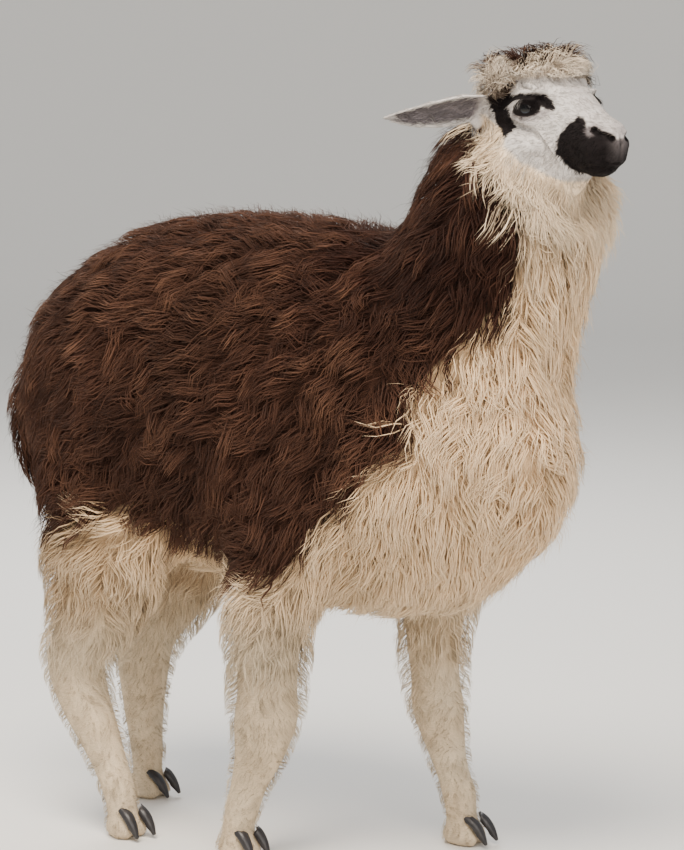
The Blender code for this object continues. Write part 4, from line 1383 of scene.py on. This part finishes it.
HairLayer = namedtuple("HairLayer", "name rings spacing width tuft clumping stray")
TOPKNOT_LAYERS = (
    HairLayer("fleece_topknot", 4, 0.0042, 0.0009, 16, 0.55, 0.6),
    HairLayer("fuzz_topknot", 3, 0.0042, 0.0006, 8, 0.3, 1.2),
)
FACE_LAYER = HairLayer("hair_face", 2, 0.0030, 0.0005, 9, 0.3, 0.5)
EAR_LAYER = HairLayer("hair_ears", 2, 0.0030, 0.0006, 9, 0.3, 0.8)
EAR_HAIR = 0.018
WOOL_UNDER, HAIR_OVER = 0.6, 0.4  # the shares of bare face where wool ends and short hair starts
BIB_EDGE, BIB_BELOW = 0.022, -0.02  # short hair goes on this far under the throat's wool
LID_BARE = 1.25  # in openings of the lids
THROAT_HAIR, THROAT_HAIR_UP = 1.3, (-0.03, -0.08)
FRINGE_SHORT, FRINGE_BAND = 0.55, (0.0, 0.030)
TOPKNOT_LOW, TOPKNOT_MORE = 0.65, 0.50  # reach of the tips as shares of the wool's depth
TOPKNOT_WAY = {"wave": 0.004, "waves": 1.2, "lift": 2.0}
SHORT_REACH, SHORT_WAVE, SHORT_BLEACH = (0.5, 1.0), 0.06, 0.4
WOOL_SOFTNESS, SHORT_SOFTNESS = 0.5, 0.1  # how far a lock's shading follows the whole coat's
WOOL_START, WOOL_START_BAND = 0.10, (0.0, 0.045)  # the wool lies flat where it meets the face
SHORT_DEPTHS = (0.0010, 0.12)  # how far short hair stands off, and as a share of its length
LASH_LENGTH, LASH_SPACING, LASH_WIDTH = 0.013, 0.0015, 0.0003
LASH_RIM, LASH_ABOVE, LASH_DARK = (0.95, 1.30), 0.002, (0.004, 0.014)
LASH_BACK, LASH_SPREAD, LASH_DROOP, LASH_BEND = 0.55, 0.25, 0.35, 0.006


class ALPACA_OT_head_hair(bpy.types.Operator):
    """Grows the topknot, the cheeks' wool and the short tufts of the face and ears"""

    bl_idname = "alpaca.head_hair"
    bl_label = "Head hair"

    def execute(self, context):
        sizes, colours = context.scene.alpaca_sizes, context.scene.alpaca_colours
        skin, wool = skin_arrays(), wool_material()
        head, face = skin.face_owner == "head", bare_face_share(skin.middles)
        below = in_head(skin.middles)[:, 2] < BIB_BELOW
        short = (face >= HAIR_OVER) | ((off_face(skin.middles) < BIB_EDGE) & below)
        open_lids = lid_rings(skin.middles)[0] > LID_BARE

        def crown_length(points):
            forward, _, up = in_head(points).T
            throat = smoothstep(*THROAT_HAIR_UP, up)
            off_fringe = smoothstep(*FRINGE_BAND, np.abs(up - edge_at(FRINGE, forward)))
            crown = FRINGE_SHORT + (1 - FRINGE_SHORT) * off_fringe
            return sizes.crown_length * (crown * (1 - throat) + THROAT_HAIR * throat)

        regions = [(layer, head & (face < WOOL_UNDER), None) for layer in TOPKNOT_LAYERS]
        regions.append((FACE_LAYER, head & short & open_lids, sizes.face_length))
        regions.append((EAR_LAYER, has(skin.face_owner, "ear_"), EAR_HAIR))
        for number, (layer, chosen, length) in enumerate(regions):
            rng = np.random.default_rng(sizes.seed + 400 + number)
            lengths = crown_length if length is None else lambda points: np.full(len(points), length)
            locks = Locks(skin, chosen, rng, layer.spacing, lengths, layer.rings, layer.tuft)
            count = len(locks.roots)
            if length is None:
                reach = TOPKNOT_LOW + TOPKNOT_MORE * (0.6 * locks.relief + 0.4 * rng.random(count))
                start = smoothstep(*WOOL_START_BAND, off_face(locks.roots))
                start = WOOL_START + (1 - WOOL_START) * start
                reach = reach * np.where(in_head(locks.roots)[:, 2] > 0.0, 1.0, start)
                way = TOPKNOT_WAY
            else:
                locks.depths = np.clip(locks.depths, SHORT_DEPTHS[0], SHORT_DEPTHS[1] * length)
                reach, way = rng.uniform(*SHORT_REACH, count), {"wave": SHORT_WAVE * length}
            locks.raised(reach, clumping=layer.clumping, stray=layer.stray, **way)
            paint = wool_colours(colours, 1.0 if length is None else SHORT_BLEACH)
            widths = layer.width * rng.uniform(*WIDTH_SPREAD, count)
            softness = WOOL_SOFTNESS if length is None else SHORT_SOFTNESS
            mesh = locks.mesh(layer.name, widths, paint, ball_unwrap, softness)
            finish_piece(new_piece(layer.name, mesh), wool)
        self.lashes(skin, colours, sizes, wool)
        return {"FINISHED"}

    def lashes(self, skin, colours, sizes, wool):
        """Long lashes along the upper lids, pale behind and dark in front."""
        rng = np.random.default_rng(sizes.seed + 450)
        ring, height = lid_rings(skin.middles)
        rim = (ring > LASH_RIM[0]) & (ring < LASH_RIM[1]) & (height > LASH_ABOVE)
        locks = Locks(skin, rim, rng, LASH_SPACING, lambda p: np.full(len(p), LASH_LENGTH), 3, 6)
        forward, left, _ = in_head(locks.roots).T
        outs = {side: np.array(eye_turn(side).to_3x3())[:, 1] for side, _ in SIDES}
        out = np.where(left[:, None] > 0, outs[1], outs[-1])
        way = out - LASH_BACK * HEAD_AXES[0] + LASH_SPREAD * rng.normal(size=out.shape)
        way = unit(way - np.array([0, 0, LASH_DROOP])) * locks.lengths[:, None]
        t = locks.t[:, None, None]
        locks.curve = locks.roots + way * t - np.array([0, 0, LASH_BEND]) * t ** 2

        def paint(locks, along):
            shade = blend(colours.face_hair, colours.black_marks_and_nostril_shade, smoothstep(*LASH_DARK, forward))
            return np.repeat(shade[:, None], len(along), axis=1)

        widths = np.full(len(locks.roots), LASH_WIDTH)
        mesh = locks.mesh("lashes", widths, paint, ball_unwrap)
        finish_piece(new_piece("lashes", mesh), wool)


CORNEA_EDGE, CORNEA_RISE = (0.72, 0.30), 0.0012  # in the eye's radii, and how far it stands out


class ALPACA_OT_eyes(bpy.types.Operator):
    """Makes the two eyeballs, with a cornea, an iris and a level pupil"""

    bl_idname = "alpaca.eyes"
    bl_label = "Eyes"

    def execute(self, context):
        look = eye_material(context.scene.alpaca_colours)
        pole_out = Matrix.Rotation(-math.pi / 2, 4, "X")
        for side, word in SIDES:
            turn = eye_turn(side, GAZE)
            eye = ball(EYES[word], [EYE_RADIUS] * 3, turn @ pole_out, 96)
            eye.name = eye.data.name = "eyeball_" + word
            points, _, _, _ = arrays_of(eye.data)
            local = in_eye(points, side, word, GAZE)
            off_axis = np.hypot(local[:, 0], local[:, 2]) / EYE_RADIUS
            cornea = smoothstep(*CORNEA_EDGE, off_axis) * (local[:, 1] > 0)
            way = np.array(turn.to_3x3() @ Vector((0, 1, 0)))
            set_points(eye.data, points + way * (CORNEA_RISE * cornea)[:, None])
            out, flat = local[:, 1:2], local[:, [0, 2]]
            corner = np.empty(len(eye.data.loops), np.int32)
            eye.data.loops.foreach_get("vertex_index", corner)
            flat = np.where(out > 0, flat, unit(flat) * EYE_RADIUS)
            gaze = (0.5 + 0.5 * flat / EYE_RADIUS)[corner].astype(np.float32)
            eye.data.uv_layers.new(name="Gaze").data.foreach_set("uv", gaze.ravel())
            eye.data.shade_smooth()
            finish_piece(eye, look, ["eye_" + word])
        return {"FINISHED"}


class ALPACA_OT_toenails(bpy.types.Operator):
    """Makes the smooth black toenails of each foot"""

    bl_idname = "alpaca.toenails"
    bl_label = "Toenails"

    def execute(self, context):
        horn = toenail_material(context.scene.alpaca_colours)
        for foot in FEET:
            nodes = [name for name in NAILS if name.startswith(foot)]
            nails = joined("toenails_" + foot, [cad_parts[name].data for name in nodes])
            weld = nails.modifiers.new("weld", "WELD")
            weld.merge_threshold = 0.1 * MM
            smooth = nails.modifiers.new("round", "SUBSURF")
            smooth.levels = smooth.render_levels = 2
            with_modifiers_applied(nails)
            nails.data.shade_smooth()
            finish_piece(nails, horn, nodes)
        return {"FINISHED"}


# ---------------------------------------------------------------- materials


def add_node(tree, kind, inputs=None, **settings):
    """Adds a shader node. Each input is a value or the output that feeds it."""
    made = tree.nodes.new(kind)
    for name, value in settings.items():
        setattr(made, name, value)
    for key, value in (inputs or {}).items():
        if isinstance(value, bpy.types.NodeSocket):
            tree.links.new(value, made.inputs[key])
        else:
            made.inputs[key].default_value = value
    return made


def new_material(name):
    """A material with nothing in it but its output."""
    material = bpy.data.materials.new(name)
    material.use_nodes = True
    material.node_tree.nodes.clear()
    return material, material.node_tree


def streaked(tree, noise, colour, tones, lift=None):
    """Noise that tints a colour, from a dark to a light tone, and lifts the surface.

    The lift is a strength and a depth. Sockets 6 and 7 are the two sides of a mix of colours.
    """
    tone = add_node(tree, "ShaderNodeMapRange", {
        0: noise.outputs[0], 1: 0.3, 2: 0.7, 3: tones[0], 4: tones[1],
    })
    mix = add_node(tree, "ShaderNodeMix", {
        0: 1.0, 6: colour, 7: tone.outputs[0],
    }, data_type="RGBA", blend_type="MULTIPLY")
    if lift is None:
        return {"Base Color": mix.outputs[2]}
    bumps = add_node(tree, "ShaderNodeBump", {
        "Height": noise.outputs[0], "Strength": lift[0], "Distance": lift[1],
    })
    return {"Base Color": mix.outputs[2], "Normal": bumps.outputs[0]}


def finish_material(tree, settings):
    shader = add_node(tree, "ShaderNodeBsdfPrincipled", settings)
    add_node(tree, "ShaderNodeOutputMaterial", {"Surface": shader.outputs[0]})


def wool_material():
    """Alpaca wool, grown in crimped locks: soft, without a sharp gloss, streaked along its fibres."""
    if "alpaca wool" in bpy.data.materials:
        return bpy.data.materials["alpaca wool"]
    material, tree = new_material("alpaca wool")
    # The locks' colours hold painted shade deep in the coat and between tufts, and painted light on
    # high and upward-facing tufts.
    shade = add_node(tree, "ShaderNodeAttribute", attribute_name="colour_and_painted_shading")
    strand = add_node(tree, "ShaderNodeAttribute", attribute_name="strand")
    place = add_node(tree, "ShaderNodeUVMap", uv_map="Fibre")
    # Fibres are 0.03 mm thick, too fine to show: a lock is drawn with nine of them to a side.
    stretched = add_node(tree, "ShaderNodeMapping", {0: place.outputs[0], "Scale": (27.0, 2.5, 1.0)})
    fibres = add_node(tree, "ShaderNodeTexNoise", {
        "Vector": stretched.outputs[0], "W": strand.outputs["Fac"], "Scale": 1.0, "Detail": 2.0,
    }, noise_dimensions="4D")
    finish_material(tree, {
        **streaked(tree, fibres, shade.outputs["Color"], (0.72, 1.25), (0.6, 0.6 * MM)),
        "Roughness": 0.95, "Sheen Weight": 0.03, "Sheen Roughness": 0.6, "Specular IOR Level": 0.06,
    })
    return material


def short_hair_material():
    """Skin under short hair, which lies flat and leaves a fine velvety grain."""
    material, tree = new_material("short alpaca hair")
    # The skin's colours hold painted shade on the nose's bridge and in the nostrils.
    shade = add_node(tree, "ShaderNodeAttribute", attribute_name="colour_and_painted_shading")
    place = add_node(tree, "ShaderNodeTexCoord")
    # Hairs lie along the head, about 11 mm long and drawn 1.4 mm apart.
    turned = add_node(tree, "ShaderNodeMapping", {
        0: place.outputs["Object"], "Rotation": (0, 0, math.atan2(-HEAD_FORWARD.y, HEAD_FORWARD.x)),
        "Scale": (90.0, 700.0, 700.0),
    })
    hairs = add_node(tree, "ShaderNodeTexNoise", {
        "Vector": turned.outputs[0], "Scale": 1.0, "Detail": 3.0,
    })
    finish_material(tree, {
        **streaked(tree, hairs, shade.outputs["Color"], (0.82, 1.12), (0.5, 0.8 * MM)),
        "Roughness": 0.8, "Sheen Weight": 0.02, "Specular IOR Level": 0.12,
    })
    return material


def eye_material(colours):
    """A wet eye: a clear cornea over a slate iris with a wide dark pupil."""
    material, tree = new_material("wet eye")
    gaze = add_node(tree, "ShaderNodeUVMap", uv_map="Gaze")
    centred = add_node(tree, "ShaderNodeVectorMath", {
        0: gaze.outputs[0], 1: (-0.5, -0.5, 0.0),
    }, operation="ADD").outputs[0]
    around = add_node(tree, "ShaderNodeVectorMath", {0: centred}, operation="LENGTH")
    flat = add_node(tree, "ShaderNodeVectorMath", {
        0: centred, 1: (1.0, 1.9, 1.0),
    }, operation="MULTIPLY")
    level = add_node(tree, "ShaderNodeVectorMath", {0: flat.outputs[0]}, operation="LENGTH")
    iris_edge = add_node(tree, "ShaderNodeMapRange", {
        0: around.outputs["Value"], 1: 0.32, 2: 0.38, 3: 1.0, 4: 0.0,
    })
    pupil_edge = add_node(tree, "ShaderNodeMapRange", {
        0: level.outputs["Value"], 1: 0.22, 2: 0.34, 3: 0.0, 4: 1.0,
    })
    rays = add_node(tree, "ShaderNodeTexNoise", {"Vector": centred, "Scale": 26.0, "Detail": 4.0})
    iris = streaked(tree, rays, (*colours.iris, 1.0), (0.35, 1.0))["Base Color"]
    ball_colour = add_node(tree, "ShaderNodeMix", {
        0: iris_edge.outputs[0], 6: (*linear("#2a1f1b"), 1.0), 7: iris,
    }, data_type="RGBA")
    pupil = add_node(tree, "ShaderNodeMix", {
        0: pupil_edge.outputs[0], 6: (*linear("#08080a"), 1.0), 7: ball_colour.outputs[2],
    }, data_type="RGBA")
    finish_material(tree, {
        "Base Color": pupil.outputs[2], "Roughness": 0.12, "IOR": 1.376, "Coat Weight": 0.35,
        "Coat Roughness": 0.05, "Specular IOR Level": 0.25,
    })
    return material


def toenail_material(colours):
    """Keratin, grown in long ridges about a millimetre apart and worn matt by the ground."""
    material, tree = new_material("toenail keratin")
    place = add_node(tree, "ShaderNodeTexCoord")
    turned = add_node(tree, "ShaderNodeMapping", {
        0: place.outputs["Object"], "Scale": (120.0, 900.0, 160.0),
    })
    ridges = add_node(tree, "ShaderNodeTexNoise", {
        "Vector": turned.outputs[0], "Scale": 1.0, "Detail": 3.0,
    })
    finish_material(tree, {
        **streaked(tree, ridges, (*colours.toenail, 1.0), (0.7, 2.2), (0.5, 0.6 * MM)),
        "Roughness": 0.42, "IOR": 1.55,
    })
    return material


# ---------------------------------------------------------------- studio

CAMERA_AIM = Vector((0.0317, 0.06, 0.66))
CAMERA_TURN = math.radians(36)
CAMERA_DISTANCE = 5.2
CAMERA_HEIGHT = 1.30
CAMERA_LENS, CAMERA_SENSOR = 141.3, 36.0  # mm
COVE_RADIUS, COVE_BEND, COVE_HEIGHT = 11.0, 2.5, 4.5
COVE_FLAT = 4.0  # a ring of points in the flat floor
COVE_STEPS, COVE_SIDES = 8, 96
SKY, SKY_STRENGTH = "#eef1f5", 0.85
LIGHTS = (  # name, place, size in metres, watts, colour
    ("key", (0.6, -2.2, 4.6), 2.6, 420, "#fff3e2"),
    ("fill", (3.6, -2.8, 2.2), 2.6, 110, "#fff6ec"),
    ("rim", (-2.6, 2.4, 3.6), 2.4, 160, "#ffffff"),
)


def add_light(name, place, size, watts, colour):
    data = bpy.data.lights.new(name, "AREA")
    data.shape, data.size, data.energy, data.color = "DISK", size, watts, linear(colour)
    light = bpy.data.objects.new(name, data)
    light.location = place
    light.rotation_mode = "QUATERNION"
    light.rotation_quaternion = (CAMERA_AIM - Vector(place)).to_track_quat("-Z", "Y")
    bpy.context.scene.collection.objects.link(light)


def paper_cove():
    """A round floor of paper that curves up all round into a low wall."""
    rows = [(0.0, 0.0), (COVE_FLAT, 0.0), (COVE_RADIUS - COVE_BEND, 0.0)]
    for step in range(1, COVE_STEPS + 1):
        angle = step / COVE_STEPS * math.pi / 2
        out, up = 1 - math.sin(angle), 1 - math.cos(angle)
        rows.append((COVE_RADIUS - COVE_BEND * out, COVE_BEND * up))
    rows.append((COVE_RADIUS, COVE_HEIGHT))
    mesh = bpy.data.meshes.new("floor")
    with edited(mesh) as form:
        profile = [form.verts.new((radius, 0.0, height)) for radius, height in rows]
        edges = [form.edges.new(pair) for pair in zip(profile, profile[1:])]
        bmesh.ops.spin(
            form, geom=profile + edges, cent=(0, 0, 0), axis=(0, 0, 1), angle=2 * math.pi,
            steps=COVE_SIDES, use_merge=True,
        )
        bmesh.ops.remove_doubles(form, verts=form.verts, dist=0.1 * MM)
        bmesh.ops.recalc_face_normals(form, faces=form.faces)
        bmesh.ops.reverse_faces(form, faces=form.faces)
    mesh.shade_smooth()
    return new_piece("floor", mesh)


class ALPACA_OT_studio(bpy.types.Operator):
    """Sets the pale floor, the soft lights and the camera"""

    bl_idname = "alpaca.studio"
    bl_label = "Studio"

    def execute(self, context):
        colours, scene = context.scene.alpaca_colours, context.scene
        floor = paper_cove()
        material, tree = new_material("studio paper")
        finish_material(tree, {"Base Color": (*colours.floor, 1.0), "Roughness": 0.9})
        floor.data.materials.append(material)
        world = bpy.data.worlds.new("studio")
        world.use_nodes = True
        background = world.node_tree.nodes["Background"]
        background.inputs["Color"].default_value = (*linear(SKY), 1.0)
        background.inputs["Strength"].default_value = SKY_STRENGTH
        scene.world = world
        for light in LIGHTS:
            add_light(*light)
        data = bpy.data.cameras.new("camera")
        data.lens, data.sensor_width = CAMERA_LENS, CAMERA_SENSOR
        camera = bpy.data.objects.new("camera", data)
        camera.location = (
            CAMERA_AIM.x + CAMERA_DISTANCE * math.sin(CAMERA_TURN),
            CAMERA_AIM.y - CAMERA_DISTANCE * math.cos(CAMERA_TURN),
            CAMERA_HEIGHT,
        )
        camera.rotation_mode = "QUATERNION"
        camera.rotation_quaternion = (CAMERA_AIM - camera.location).to_track_quat("-Z", "Y")
        scene.collection.objects.link(camera)
        scene.camera = camera
        return {"FINISHED"}


class ALPACA_PT_panel(bpy.types.Panel):
    """Lists the pieces and their sizes and colours"""

    bl_label = "Alpaca"
    bl_idname = "ALPACA_PT_panel"
    bl_space_type = "VIEW_3D"
    bl_region_type = "UI"
    bl_category = "Alpaca"

    def draw(self, context):
        for group in (context.scene.alpaca_sizes, context.scene.alpaca_colours):
            column = self.layout.column()
            for name in group.bl_rna.properties.keys():
                if name not in ("rna_type", "name"):
                    column.prop(group, name)
        for operator in OPERATORS:
            self.layout.operator(operator.bl_idname)


OPERATORS = (
    ALPACA_OT_studio,
    ALPACA_OT_skin,
    ALPACA_OT_eyes,
    ALPACA_OT_toenails,
    ALPACA_OT_fleece,
    ALPACA_OT_head_hair,
)
CLASSES = (AlpacaSizes, AlpacaColours, *OPERATORS, ALPACA_PT_panel)


def register():
    for each in CLASSES:
        bpy.utils.register_class(each)
    bpy.types.Scene.alpaca_sizes = PointerProperty(type=AlpacaSizes)
    bpy.types.Scene.alpaca_colours = PointerProperty(type=AlpacaColours)


def unregister():
    del bpy.types.Scene.alpaca_sizes
    del bpy.types.Scene.alpaca_colours
    for each in reversed(CLASSES):
        bpy.utils.unregister_class(each)


def main():
    register()
    for operator in OPERATORS:
        group, name = operator.bl_idname.split(".")
        getattr(getattr(bpy.ops, group), name)()


if __name__ == "__main__":
    main()
